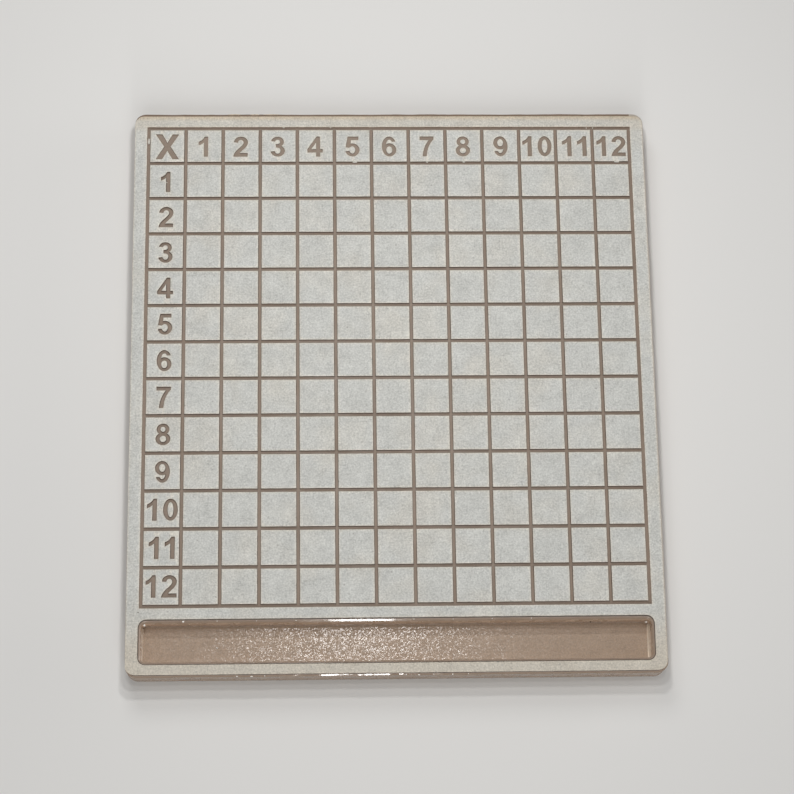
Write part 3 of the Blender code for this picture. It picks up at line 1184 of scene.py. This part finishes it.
@dataclass(frozen=True)
class Numerals:
    """The numerals' drawing: each digit is one unit high, in a space of the same width."""

    space: float = 0.775
    double_one_kern: float = 0.06
    end_clearance: float = 2.7 * MILLIMETRE
    side_clearance: float = 0.2 * MILLIMETRE

    def zero(self) -> Glyph:
        """Outline and counter of a nought."""
        middle = (0.3875, 0.5)
        return ellipse(middle, (0.325, 0.5)), [ellipse(middle, (0.135, 0.345))]

    def one(self) -> Glyph:
        """Draw a one.

        Returns:
            Its outline and its counters.
        """
        outline = joined(
            [(0.356, 0.0), (0.547, 0.0), (0.547, 1.0)],
            bend((0.392, 1.0), (0.33, 0.83), (0.109, 0.748)),
            bend((0.109, 0.575), (0.26, 0.62), (0.356, 0.719)),
        )
        return outline, []

    def two(self) -> Glyph:
        """Draw a two.

        Returns:
            Its outline and its counters.
        """
        outline = joined(
            [(0.035, 0.0), (0.704, 0.0), (0.704, 0.177)],
            bend((0.335, 0.177), (0.37, 0.24), (0.50, 0.36)),
            bend((0.50, 0.36), (0.71, 0.54), (0.71, 0.712)),
            arc((0.385, 0.712), (0.325, 0.288), 0, 178),
            arc((0.381, 0.70), (0.133, 0.142), 178, 0),
            bend((0.514, 0.70), (0.514, 0.60), (0.315, 0.43)),
            bend((0.315, 0.43), (0.05, 0.20), (0.035, 0.0)),
        )
        return outline, []

    def three(self) -> Glyph:
        """Draw a three.

        Returns:
            Its outline and its counters.
        """
        outline = joined(
            arc((0.372, 0.285), (0.328, 0.285), 188, 418),
            arc((0.362, 0.735), (0.295, 0.265), -50, 170),
            arc((0.365, 0.735), (0.115, 0.115), 170, -90),
            [(0.275, 0.617), (0.292, 0.462)],
            arc((0.372, 0.295), (0.135, 0.152), 90, -172),
        )
        return outline, []

    def four(self) -> Glyph:
        """Draw a four.

        Returns:
            Its outline and its counters.
        """
        stem_left, stem_right = 0.435, 0.62
        bar_bottom, bar_top = 0.2, 0.368
        outline = [
            (stem_left, 0.0), (stem_right, 0.0), (stem_right, bar_bottom), (0.743, bar_bottom),
            (0.743, bar_top), (stem_right, bar_top), (stem_right, 1.0), (0.459, 1.0), (0.027, bar_top),
            (0.027, bar_bottom), (stem_left, bar_bottom),
        ]
        return outline, [[(0.206, bar_top), (stem_left, bar_top), (stem_left, 0.709)]]

    def five(self) -> Glyph:
        """Draw a five.

        Returns:
            Its outline and its counters.
        """
        outline = joined(
            arc((0.40, 0.328), (0.33, 0.328), 192, 465),
            [(0.327, 0.822), (0.685, 0.822), (0.685, 1.0), (0.183, 1.0), (0.086, 0.463), (0.24, 0.44)],
            arc((0.395, 0.328), (0.14, 0.185), 125, -165),
        )
        return outline, []

    def six(self) -> Glyph:
        """Draw a six.

        Returns:
            Its outline and its counters.
        """
        outline = joined(
            arc((0.39, 0.5), (0.335, 0.5), 30, 270),
            arc((0.393, 0.327), (0.327, 0.327), -90, 112),
            arc((0.40, 0.55), (0.155, 0.295), 172, 40),
        )
        return outline, [ellipse((0.397, 0.32), (0.143, 0.182))]

    def seven(self) -> Glyph:
        """Draw a seven.

        Returns:
            Its outline and its counters.
        """
        bar_bottom = 0.823
        outline = joined(
            [(0.194, 0.0)],
            bend((0.378, 0.0), (0.40, 0.52), (0.713, 0.86)),
            [(0.713, 1.0), (0.059, 1.0), (0.059, bar_bottom)],
            bend((0.483, bar_bottom), (0.215, 0.45), (0.194, 0.0)),
        )
        return outline, []

    def eight(self) -> Glyph:
        """Draw an eight.

        Returns:
            Its outline and its counters.
        """
        upper, lower = (0.387, 0.735), (0.387, 0.29)
        outline = joined(arc(lower, (0.332, 0.29), 124, 416), arc(upper, (0.285, 0.265), -50, 230))
        return outline, [ellipse(upper, (0.118, 0.118)), ellipse(lower, (0.147, 0.15))]

    def nine(self) -> Glyph:
        """Draw a nine, which is a six turned round.

        Returns:
            Its outline and its counters.
        """
        middle = (self.space / 2, 0.5)
        outline, counters = self.six()
        return half_turned(outline, middle), [half_turned(counter, middle) for counter in counters]

    def number(self, value: int, cell_side: float) -> tuple[list[Outline], list[Outline]]:
        """Draw a number at its real size, centred in a cell.

        Args:
            value: the number.
            cell_side: side of the cell.

        Returns:
            The outlines of its digits and of their counters, all anticlockwise.
        """
        digits = (self.zero, self.one, self.two, self.three, self.four,
                  self.five, self.six, self.seven, self.eight, self.nine)
        text = str(value)
        height = cell_side - 2 * self.end_clearance
        advance = (cell_side - 2 * self.side_clearance) / 2
        stretch = advance / self.space
        kern = self.double_one_kern * stretch if text == "11" else 0.0
        left = -(len(text) * advance - kern) / 2
        outlines: list[Outline] = []
        counters: list[Outline] = []
        for position, character in enumerate(text):
            start = left + position * (advance - kern)
            outline, inner = digits[int(character)]()
            outlines.append([(start + x * stretch, (y - 0.5) * height) for x, y in outline])
            counters += [[(start + x * stretch, (y - 0.5) * height) for x, y in hole] for hole in inner]
        return outlines, counters


def times_sign(cell_side: float) -> Outline:
    """Draw two crossed strokes: from the front notch up the right side and, by half a turn, down the left.

    Args:
        cell_side: side of the cell.

    Returns:
        The outline, anticlockwise, about the middle of the cell.
    """
    side_clearance, end_clearance = 2.3 * MILLIMETRE, 1.6 * MILLIMETRE
    half_width, half_height = cell_side / 2 - side_clearance, cell_side / 2 - end_clearance
    arm_inside, side_notch, end_notch = 0.44, 0.27, 0.31
    right_side = [
        (0.0, -end_notch), (arm_inside, -1.0), (1.0, -1.0), (side_notch, 0.0), (1.0, 1.0), (arm_inside, 1.0),
    ]
    both_sides = right_side + half_turned(right_side, (0.0, 0.0))
    return [(x * half_width, y * half_height) for x, y in both_sides]


# Sub-assemblies


@dataclass
class TraySizes:
    """The pen tray: its place, its corners and the widths of its mouth's chamfer."""

    board: BoardFrame
    side_wall: float = 6.2 * MILLIMETRE
    front_wall: float = 6.2 * MILLIMETRE
    width: float = 15.8 * MILLIMETRE
    corner_radius: float = 2.1 * MILLIMETRE
    mouth_widths: SideWidths = SideWidths(left=1.0, right=1.0, front=1.33, back=0.95)

    def walls(self, setback: float = 0.0) -> Outline:
        """Draw the tray's walls.

        Args:
            setback: how much wider the outline is all round.

        Returns:
            The outline, anticlockwise.
        """
        right = self.board.half_width - self.side_wall + setback
        front = -self.board.half_depth + self.front_wall - setback
        back = front + self.width + 2 * setback
        return rounded_rectangle(-right, right, front, back, self.corner_radius + setback)

    def mouth(self, spacing: float) -> tuple[Outline, np.ndarray]:
        """The walls with the material on their left, and the share of the chamfer's width at each point."""
        outline = resampled(self.walls()[::-1], spacing)
        return outline, self.mouth_widths.along(outline)


@dataclass
class Levels:
    """Depths of the paper and the cuts, the seam's height, and widths of the outer chamfers as they look."""

    board: BoardFrame
    paper: float = 0.2 * MILLIMETRE
    groove: float = 0.8 * MILLIMETRE
    numeral: float = 0.5 * MILLIMETRE
    seam: float = 0.08 * MILLIMETRE
    rim_widths: SideWidths = SideWidths(left=0.14, right=0.5, front=1.0, back=1.2)

    def rim(self, spacing: float) -> tuple[Outline, np.ndarray]:
        """The board's outline, and the share of the chamfer's width at each of its points."""
        outline = resampled(self.board.outline(), spacing)
        return outline, self.rim_widths.along(outline)

    @property
    def paper_bottom(self) -> float:
        """Underside of the paper."""
        return self.board.face - self.paper

    @property
    def groove_floor(self) -> float:
        """Floor of the grid lines and of the left column's numerals."""
        return self.board.face - self.groove

    @property
    def numeral_floor(self) -> float:
        """Floor of the back row's numerals."""
        return self.board.face - self.numeral

    @property
    def sheet_bottom(self) -> float:
        """Underside of the thick sheet."""
        return self.board.base_top + self.seam


@dataclass
class Sheets:
    """The thin and the thick brown sheet, the glue between them and the tray.

    A lap is how far one body reaches into another, so that no gap shows between them.
    """

    board: BoardFrame
    tray: TraySizes
    levels: Levels
    finishes: Finishes
    ease: float = 0.25 * MILLIMETRE
    arris: float = 0.12 * MILLIMETRE
    scorched_strip: float = 0.37 * MILLIMETRE
    strip_lap: float = 0.3 * MILLIMETRE
    chamfer_slope: float = 0.82
    crown: float = 0.007 * MILLIMETRE
    seam_recess: float = 0.35 * MILLIMETRE
    seam_setback: float = 0.3 * MILLIMETRE
    seam_lap: float = 0.2 * MILLIMETRE
    base_waver: float = 0.02 * MILLIMETRE
    base_wave: float = 9.0 * MILLIMETRE
    edge_waver: float = 0.14 * MILLIMETRE
    edge_wave: float = 8.0 * MILLIMETRE
    tray_waver: float = 0.006 * MILLIMETRE
    base_seed: float = 1.0
    rim_seed: float = 2.6
    mouth_seed: float = 3.0
    floor_margin: float = 0.4 * MILLIMETRE
    floor_lap: float = 0.3 * MILLIMETRE
    floor_height: float = 0.05 * MILLIMETRE
    window_lap: float = 0.02 * MILLIMETRE
    plate_margin: float = 0.3 * MILLIMETRE
    plate_lap: float = 0.1 * MILLIMETRE
    bead: float = 0.3 * MILLIMETRE
    bead_lap: float = 0.03 * MILLIMETRE
    bead_lift: float = 0.04 * MILLIMETRE
    bead_steps: int = 8
    # The end walls' pale film is painted light: its falloff, where it starts and its height at each end.
    film_falloff: int = 4
    film_start: float = 0.5
    left_film: float = 8.0 * MILLIMETRE
    right_film: float = 5.0 * MILLIMETRE
    right_bead: float = 0.75 * MILLIMETRE
    # Reach of the painted light on the side chamfers and at the back right corner.
    worn_width: float = 1.6
    worn_corner: float = 5.2 * MILLIMETRE
    point_spacing: float = 1.2 * MILLIMETRE

    def build(self) -> None:
        """Build every piece."""
        self.base_sheet()
        self.glue_seam()
        self.top_sheet()
        self.glue_bead()

    def base_sheet(self) -> None:
        """Build the thin sheet and the glittering floor of the tray on it."""
        top = self.board.base_top
        outline = resampled(self.board.outline(), self.point_spacing)
        upper = soft_edge(self.ease, top)
        lower = [Ring(ring.inset, top - ring.height) for ring in reversed(upper)]
        mesh = LayerMesh(Look.SHEET)
        mesh.add_body([Edge(ragged(outline, self.base_waver, self.base_wave, self.base_seed), lower + upper)])
        floor = resampled(self.tray.walls(self.floor_margin), self.point_spacing)
        rings = [Ring(0.0, top - self.floor_lap), Ring(0.0, top + self.floor_height)]
        mesh.add_body([Edge(floor, rings)], Look.TRAY_FLOOR, Look.TRAY_FLOOR)
        mesh.make("base_sheet_body", self.finishes, Slot.SHEET, "base_sheet")

    def glue_seam(self) -> None:
        """Build the glue that shows as a fine line between the sheets."""
        outline = resampled(self.board.outline(self.seam_recess), self.point_spacing)
        hole = resampled(self.tray.walls(self.seam_setback), self.point_spacing)[::-1]
        low, high = self.board.base_top - self.seam_lap, self.levels.sheet_bottom + self.seam_lap
        rings = [Ring(0.0, low), Ring(0.0, high)]
        mesh = LayerMesh(Look.SCORCH)
        mesh.add_body([Edge(outline, rings), Edge(hole, rings)])
        mesh.make("glue_seam", self.finishes, Slot.SHEET)

    def chamfered_rings(self, wall: Look) -> list[Ring]:
        """Lay out the thick sheet's outer or tray edge, from its underside to under the paper.

        Args:
            wall: look of the upright part.

        Returns:
            The rings from the bottom up.
        """
        low, high = self.levels.sheet_bottom, self.levels.paper_bottom
        flat = self.board.chamfer - self.scorched_strip
        drop = flat * self.chamfer_slope
        crown = [
            Ring(flat * t, high - drop * (1 - t) + self.crown * 4 * t * (1 - t), Look.CHAMFER)
            for t in (0.25, 0.5, 0.75)
        ]
        # The strip under the paper's edge is dark: partly scorch, partly painted shade from the paper's edge.
        corners = [
            Ring(self.ease, low, wall), Ring(0.0, low + self.ease, wall),
            Ring(0.0, high - drop, Look.CHAMFER), *crown,
            Ring(flat, high, Look.SCORCH), Ring(self.board.chamfer + self.strip_lap, high),
        ]
        return eased(corners, self.arris)

    def top_sheet(self) -> None:
        """Build the thick sheet, chamfered round its outside and its tray, and the engraved floors."""
        levels, chamfer_depth = self.levels, 2 * self.board.chamfer
        rim, rim_widths = levels.rim(self.point_spacing)
        mouth, mouth_widths = self.tray.mouth(self.point_spacing)
        rim = ragged(rim, self.edge_waver, self.edge_wave, self.rim_seed)
        mouth = ragged(mouth, self.tray_waver, self.edge_wave, self.mouth_seed)
        outside = Edge(rim, self.chamfered_rings(Look.SHEET), rim_widths, chamfer_depth)
        tray = Edge(mouth, self.chamfered_rings(Look.TRAY_WALL), mouth_widths, chamfer_depth)
        window = resampled(self.board.grid_window(), self.point_spacing)
        hole = [Ring(0.0, levels.sheet_bottom), Ring(0.0, levels.paper_bottom)]
        mesh = LayerMesh(Look.SHEET)
        mesh.add_body([outside, tray, Edge(window[::-1], hole)])
        self.wear_sides(mesh)
        lapped = inset(window, -self.window_lap)
        self.add_floor(mesh, lapped, levels.sheet_bottom, levels.groove_floor, Look.GROOVE)
        plate = resampled(self.board.cell(self.plate_margin), self.point_spacing)
        low = levels.groove_floor - self.plate_lap
        for column in range(self.board.cells):
            placed = moved(plate, self.board.cell_middle(column, 0))
            self.add_floor(mesh, placed, low, levels.numeral_floor, Look.NUMERAL)
        mesh.make("top_sheet_body", self.finishes, Slot.SHEET, "top_sheet")

    def add_floor(self, mesh: LayerMesh, outline: Outline, low: float, high: float, look: Look) -> None:
        """Add an engraved floor to the thick sheet.

        Args:
            mesh: the thick sheet.
            outline: the floor's outline.
            low: its underside, which doesn't show.
            high: the floor.
            look: look of the floor.
        """
        mesh.add_body([Edge(outline, [Ring(0.0, low, look), Ring(0.0, high, look)])], look, look)

    def wear_sides(self, mesh: LayerMesh) -> None:
        """Paint light on the chamfers of the sides and the back right corner, pale, and char the back side's.

        Args:
            mesh: the thick sheet.
        """
        edge, corner = self.worn_width * self.board.chamfer, self.worn_corner
        for index, corners in enumerate(mesh.faces):
            if mesh.looks[index] not in (Look.CHAMFER, Look.SCORCH):
                continue
            x, y, _ = mesh.points[corners[0]]
            to_side = self.board.half_width - abs(x)
            to_back, to_front = self.board.half_depth - y, self.board.half_depth + y
            at_corner = x > 0 and to_side < corner and to_back < corner
            # Painted light: the side chamfers and the back right corner get the pale copy of their brown.
            if at_corner or to_side < edge and min(to_back, to_front) > corner:
                mesh.looks[index] = Look.WORN
            elif to_back < edge:
                mesh.looks[index] = Look.CHAR

    def glue_bead(self) -> None:
        """Build the bead of glue round the tray's foot, and up the end walls a pale film that is painted
        light.
        """
        low = self.board.base_top + self.bead_lift
        wall = resampled(self.tray.walls(self.bead_lap), self.point_spacing)
        count = len(wall)
        ends = np.array([
            (abs(y1 - y0) / math.hypot(x1 - x0, y1 - y0)) ** self.film_falloff
            for (x0, y0), (x1, y1) in zip(wall[-1:] + wall[:-1], wall[1:] + wall[:1])
        ])
        at_right = np.array(wall)[:, 0] > 0
        heights = self.bead + (np.where(at_right, self.right_film, self.left_film) - self.bead) * ends
        radii = self.bead + np.where(at_right, self.right_bead - self.bead, 0.0) * ends
        profile = [(0.0, 0.0)]
        for i in range(self.bead_steps + 1):
            angle = math.pi / 2 * i / self.bead_steps
            profile.append((1 - math.sin(angle), 1 - math.cos(angle)))
        mesh = LayerMesh(Look.GLUE)
        for setback, share in profile:
            loop = inset(wall, setback * radii)
            mesh.points += [(x, y, low + share * height) for (x, y), height in zip(loop, heights)]
        mesh.rim = [1.0] * len(mesh.points)
        for k in range(len(profile)):
            following = (k + 1) % len(profile)
            for i in range(count):
                j = (i + 1) % count
                corners = (k * count + i, following * count + i, following * count + j, k * count + j)
                # Painted light: the film up the end walls takes the pale finish.
                mesh.add_face(corners, Look.GLUE_FILM if ends[i] > self.film_start else Look.GLUE)
        mesh.make("tray_glue_bead_and_light_film", self.finishes, Slot.SHEET)


@dataclass
class Facing:
    """The paper facing: the border, the headings with their numerals, the times sign and the plain cells.

    The numerals sit a little off the middle of their cells: the back row's lie low and some of them to the
    left, the left column's lie low and creep up from row to row, and the elevens lie to the right.
    """

    board: BoardFrame
    tray: TraySizes
    levels: Levels
    finishes: Finishes
    numerals: Numerals = field(default_factory=Numerals)
    surface: Surface = Surface(1.3 * MILLIMETRE, 1.6 * MILLIMETRE, 0.02 * MILLIMETRE)
    softness: float = 0.09 * MILLIMETRE
    flare: float = 0.2 * MILLIMETRE
    foot_lap: float = 0.05 * MILLIMETRE
    waver: float = 0.04 * MILLIMETRE
    wave: float = 2.4 * MILLIMETRE
    cell_seed: float = 5.0
    border_seed: float = 7.0
    edge_spacing: float = 0.6 * MILLIMETRE
    column_drop: float = 0.3 * MILLIMETRE
    column_lead: float = 0.33 * MILLIMETRE
    leading: tuple[int, ...] = (2, 3, 4, 5, 6, 8, 10)
    row_drop: float = 0.46 * MILLIMETRE
    row_creep: float = 0.066 * MILLIMETRE
    lagging: int = 11
    lag: float = 0.7 * MILLIMETRE

    def build(self) -> None:
        """Build every piece."""
        self.border()
        self.times_sign_tile()
        for number in range(1, self.board.cells):
            self.heading(f"column_heading_{number}", number, number, 0)
            self.heading(f"row_heading_{number}", number, 0, number)
        for row in range(1, self.board.cells):
            self.product_row(row)

    def paper_rings(self) -> list[Ring]:
        """Rings of the paper's own edge."""
        return soft_edge(self.softness, self.board.face)

    def land_rings(self) -> list[Ring]:
        """Rings of a brown land with the paper on it."""
        low = self.levels.groove_floor - self.foot_lap
        return [Ring(-self.flare, low, Look.FLANK), Ring(0.0, self.levels.paper_bottom), *self.paper_rings()]

    def cut(self, outline: Outline, middle: Point, hole: bool = False) -> Edge:
        """A land's edge with the waver of its cut, at its place on the board."""
        placed = moved(resampled(outline[::-1] if hole else outline, self.edge_spacing), middle)
        return Edge(ragged(placed, self.waver, self.wave, self.cell_seed), self.land_rings())

    def add_land(self, mesh: LayerMesh, edges: list[Edge]) -> None:
        """Add one land with its paper."""
        mesh.add_body(edges, Look.PAPER, Look.FLANK, self.surface)

    def border(self) -> None:
        """Build the paper round the grid and the tray."""
        rings = [Ring(0.0, self.levels.paper_bottom - self.foot_lap), *self.paper_rings()]
        rim, rim_widths = self.levels.rim(self.edge_spacing)
        mouth, mouth_widths = self.tray.mouth(self.edge_spacing)
        outlines = [
            inset(rim, self.board.chamfer * rim_widths),
            resampled(self.board.grid_window()[::-1], self.edge_spacing),
            inset(mouth, self.board.chamfer * mouth_widths),
        ]
        cut = [ragged(outline, self.waver, self.wave, self.border_seed) for outline in outlines]
        mesh = LayerMesh(Look.PAPER)
        self.add_land(mesh, [Edge(outline, rings) for outline in cut])
        mesh.make("border_paper", self.finishes, Slot.FACING, "border_facing")

    def times_sign_tile(self) -> None:
        """Build the corner cell with the times sign cut out of it."""
        middle = self.board.cell_middle(0, 0)
        mesh = LayerMesh(Look.PAPER)
        sign = moved(times_sign(self.board.cell_side), (0.0, -self.column_drop))
        self.add_land(mesh, [self.cut(self.board.cell(), middle), self.cut(sign, middle, True)])
        mesh.make("times_sign_cell", self.finishes, Slot.FACING, "times_sign_tile")

    def heading(self, node: str, number: int, column: int, row: int) -> None:
        """Build a heading cell with its number cut out, and the islands inside the numerals.

        Args:
            node: CAD node of the cell.
            number: the factor.
            column: column of the cell.
            row: row of the cell.
        """
        middle = self.board.cell_middle(column, row)
        outlines, counters = self.numerals.number(number, self.board.cell_side)
        sideways = -self.column_lead if row == 0 and number in self.leading else 0.0
        if number == self.lagging:
            sideways = self.lag
        drop = self.column_drop if row == 0 else self.row_drop - self.row_creep * (row - 1)
        number_middle = (middle[0] + sideways, middle[1] - drop)
        mesh = LayerMesh(Look.PAPER)
        holes = [self.cut(outline, number_middle, True) for outline in outlines]
        self.add_land(mesh, [self.cut(self.board.cell(), middle), *holes])
        for counter in counters:
            self.add_land(mesh, [self.cut(counter, number_middle)])
        inner = [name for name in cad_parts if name.startswith(f"{node}_") and name.endswith("counter")]
        mesh.make(f"{node}_cell", self.finishes, Slot.FACING, node, *inner)

    def product_row(self, row: int) -> None:
        """Build the plain cells of one row.

        Args:
            row: the row's number.
        """
        mesh = LayerMesh(Look.PAPER)
        for column in range(1, self.board.cells):
            self.add_land(mesh, [self.cut(self.board.cell(), self.board.cell_middle(column, row))])
        mesh.make(f"product_cells_{row}", self.finishes, Slot.FACING, f"product_row_{row}")


class ScrapKind(Enum):
    """What a scrap is made of: the name of the piece, its look and its slot."""

    PAPER = ("paper_scraps", Look.PAPER, Slot.FACING)
    STAIN = ("glue_stains", Look.GLUE, Slot.SHEET)
    CHAR = ("char_specks", Look.SCORCH, Slot.SHEET)
    DROP = ("resin_drops", Look.RESIN, Slot.SHEET)


@dataclass(frozen=True)
class Scrap:
    """A small bit on the board.

    Its place is in cells from the grid's back left corner, its size and its top's height in millimetres.
    """

    kind: ScrapKind
    across: float
    down: float
    length: float
    width: float
    top: float
    turn: float = 0.0
    thickness: float = 0.3


@dataclass
class Scraps:
    """Bits of torn paper, a glue stain and char specks that the cutting left; pale drops are painted glints.

    The profile runs from the bottom up, as shares of half a scrap's width and of its thickness.
    """

    board: BoardFrame
    finishes: Finishes
    in_line: float = 12.55
    on_paper: float = 12.72
    profile: tuple[Point, ...] = ((0.0, 1.0), (0.0, 0.5), (0.15, 0.25), (0.4, 0.08), (0.55, 0.0))
    seed_step: float = 1.7

    def places(self) -> list[Scrap]:
        """List the bits, kind by kind.

        Returns:
            The bits.
        """
        paper, char, drop = ScrapKind.PAPER, ScrapKind.CHAR, ScrapKind.DROP
        line, face = self.in_line, self.on_paper
        return [
            Scrap(paper, 0.0, 0.35, 2.8, 0.9, line - 0.2, 88.0),
            Scrap(paper, 3.63, -0.035, 0.9, 0.7, face),
            Scrap(paper, 4.90, -0.035, 0.8, 0.7, face),
            Scrap(paper, 11.86, -0.02, 0.4, 1.0, line),
            Scrap(paper, 12.03, -0.02, 0.4, 1.0, line),
            Scrap(paper, 0.49, 1.54, 0.9, 0.35, line, 12.0),
            Scrap(paper, 5.55, 0.965, 2.0, 0.6, line),
            Scrap(paper, 7.50, 0.965, 0.9, 0.5, line),
            Scrap(paper, 8.50, 0.965, 1.2, 0.5, line),
            Scrap(paper, 12.65, 0.965, 2.2, 0.6, line),
            Scrap(paper, 11.46, 0.22, 0.5, 0.35, line, 30.0),
            Scrap(paper, 12.28, 0.22, 0.5, 0.35, line, 30.0),
            Scrap(paper, 2.30, -0.415, 6.0, 0.6, 12.5, 0.0, 0.8),
            Scrap(paper, 2.85, -0.415, 4.0, 0.55, 12.45, 0.0, 0.8),
            Scrap(paper, 3.30, -0.415, 7.0, 0.5, 12.5, 0.0, 0.8),
            Scrap(ScrapKind.STAIN, 0.28, 0.28, 1.5, 1.1, 11.98, -50.0, 0.1),
            Scrap(char, 11.75, -0.36, 0.8, 0.5, face),
            Scrap(char, -0.06, 13.15, 0.8, 0.6, face),
            Scrap(char, 11.51, 13.424, 0.7, 0.5, 5.7, 0.0, 0.6),
            # Pale drops at the far rim, the tray's corners, its floor and the front edge are painted glints.
            *(Scrap(drop, line_number - 0.06, 13.385, 0.36, 0.3, 12.5) for line_number in range(2, 11)),
            Scrap(drop, 1.08, 13.387, 0.9, 0.7, 12.6, 0.0, 0.8),
            Scrap(drop, 0.093, 13.459, 0.95, 0.85, 11.6, 45.0, 1.0),
            Scrap(drop, 12.92, 13.464, 1.0, 0.9, 8.9, -45.0, 1.2),
            Scrap(drop, 1.91, 13.99, 0.8, 0.7, 3.5, 0.0, 0.4),
            Scrap(drop, 2.45, 14.785, 0.8, 0.35, 12.4),
            Scrap(drop, 2.82, 14.79, 1.1, 0.35, 12.35),
            Scrap(drop, 3.15, 14.78, 0.5, 0.35, 12.45),
            Scrap(drop, 6.72, 14.785, 0.5, 0.4, 12.4),
            Scrap(drop, 7.05, 14.79, 0.9, 0.4, 12.35),
            Scrap(drop, 7.42, 14.78, 0.45, 0.4, 12.45),
            Scrap(drop, 7.9, 14.785, 0.6, 0.35, 12.4),
            Scrap(drop, 8.3, 14.78, 0.4, 0.35, 12.45),
        ]

    def build(self) -> None:
        """Build one piece of each kind."""
        for kind in ScrapKind:
            name, look, slot = kind.value
            mesh = LayerMesh(look)
            for order, scrap in enumerate(self.places()):
                if scrap.kind is kind:
                    self.add_scrap(mesh, scrap, self.seed_step * order)
            mesh.make(name, self.finishes, slot)

    def add_scrap(self, mesh: LayerMesh, scrap: Scrap, seed: float) -> None:
        """Add one bit with a rounded top.

        Args:
            mesh: the mesh that takes it.
            scrap: its place and size.
            seed: picks its ragged outline.
        """
        sizes = (scrap.length, scrap.width, scrap.top, scrap.thickness)
        length, width, top, thickness = (size * MILLIMETRE for size in sizes)
        outline = blob(length, width, scrap.turn, seed)
        rings = [Ring(width / 2 * inwards, top - thickness * down) for inwards, down in self.profile]
        mesh.add_body([Edge(moved(outline, self.board.spot(scrap.across, scrap.down)), rings)])


# Studio


@dataclass(frozen=True)
class PhotoCamera:
    """Camera at the photograph's viewing angle."""

    aim: Place = (0.00123, -0.00555, 0.0127)
    distance: float = 0.8418
    elevation: float = 75.12
    azimuth: float = -7.80
    roll: float = -7.21
    lens: float = 91.82
    clip_start: float = 0.01

    def build(self) -> None:
        """Place the camera and make it the scene's own."""
        turn, lean, roll = (math.radians(a) for a in (self.azimuth, 90.0 - self.elevation, -self.roll))
        angles = Matrix.Rotation(turn, 4, "Z") @ Matrix.Rotation(lean, 4, "X") @ Matrix.Rotation(roll, 4, "Z")
        data = bpy.data.cameras.new("photo_camera")
        data.lens = self.lens
        data.clip_start = self.clip_start
        camera = bpy.data.objects.new("photo_camera", data)
        back = Matrix.Translation((0.0, 0.0, self.distance))
        camera.matrix_world = Matrix.Translation(self.aim) @ angles @ back
        bpy.context.scene.collection.objects.link(camera)
        bpy.context.scene.camera = camera
        LOG.info("camera at %s", tuple(round(c, 4) for c in camera.matrix_world.translation))


@dataclass(frozen=True)
class Lamp:
    """A soft lamp that looks at a point."""

    name: str
    place: Place
    aim: Place
    size: Point
    power: float
    round_face: bool = False

    def build(self) -> None:
        """Place the lamp."""
        data = bpy.data.lights.new(self.name, "AREA")
        data.shape = "ELLIPSE" if self.round_face else "RECTANGLE"
        data.size, data.size_y = self.size
        data.energy = self.power
        lamp = bpy.data.objects.new(self.name, data)
        lamp.location = self.place
        lamp.rotation_euler = (Vector(self.aim) - Vector(self.place)).to_track_quat("-Z", "Y").to_euler()
        bpy.context.scene.collection.objects.link(lamp)
        LOG.info("lamp %s", self.name)


@dataclass(frozen=True)
class Studio:
    """Plain pale floor and soft studio light."""

    floor_side: float = 2.2
    sky: Colour = (0.14, 0.14, 0.14)
    backdrop: Colour = (0.6, 0.595, 0.585)
    middle: Place = (0.0, 0.0, 0.0)
    tray: Place = (-0.02, -0.1, 0.0)

    def build(self) -> None:
        """Build the floor, the sky and the lamps."""
        self.floor()
        self.world()
        middle, tray = self.middle, self.tray
        for lamp in (
            Lamp("key_lamp", (0.0, 0.041, 0.5), tray, (0.04, 0.04), 0.34, True),
            Lamp("second_lamp", (0.0, 0.121, 0.4), tray, (0.035, 0.035), 0.38, True),
            Lamp("overhead_lamp", (0.001, 0.066, 1.25), tray, (0.09, 0.09), 1.28, True),
            Lamp("front_softbox", (0.0, -1.5, 1.55), middle, (1.6, 1.1), 12.0),
            Lamp("back_softbox", (-0.17, 0.6, 0.62), middle, (0.4, 0.3), 1.9),
            Lamp("front_window", (0.003, -1.1, 0.43), tray, (0.06, 0.46), 2.0, True),
            Lamp("right_softbox", (1.2, 0.25, 0.25), middle, (0.9, 0.3), 3.0),
        ):
            lamp.build()

    def floor(self) -> None:
        """Build the floor as one flat plate."""
        half = self.floor_side / 2
        mesh = bpy.data.meshes.new("studio_floor")
        mesh.from_pydata([(x, y, 0.0) for x, y in rectangle(-half, half, -half, half)], [], [(0, 1, 2, 3)])
        mesh.materials.append(StudioFloorFinish("studio_floor", self.backdrop).build())
        floor = bpy.data.objects.new("studio_floor", mesh)
        bpy.context.scene.collection.objects.link(floor)

    def world(self) -> None:
        """Light the scene softly from all round, behind a pale backdrop for the camera and reflections."""
        world = bpy.data.worlds.new("studio_sky")
        world.use_nodes = True
        graph = Graph(world.node_tree)
        colour = graph.mix(seen_directly(graph), self.sky, self.backdrop)
        graph.feed(world.node_tree.nodes["Background"].inputs["Color"], colour)
        bpy.context.scene.world = world


def main() -> None:
    """Build the board's pieces in order, then the studio and the camera."""
    logging.basicConfig(level=logging.INFO, format="%(message)s")
    bpy.context.scene.view_settings.view_transform = "Standard"
    board = BoardFrame.read()
    tray, levels, finishes = TraySizes(board), Levels(board), build_finishes()
    Sheets(board, tray, levels, finishes).build()
    Facing(board, tray, levels, finishes).build()
    Scraps(board, finishes).build()
    Studio().build()
    PhotoCamera().build()


if __name__ == "__main__":
    main()
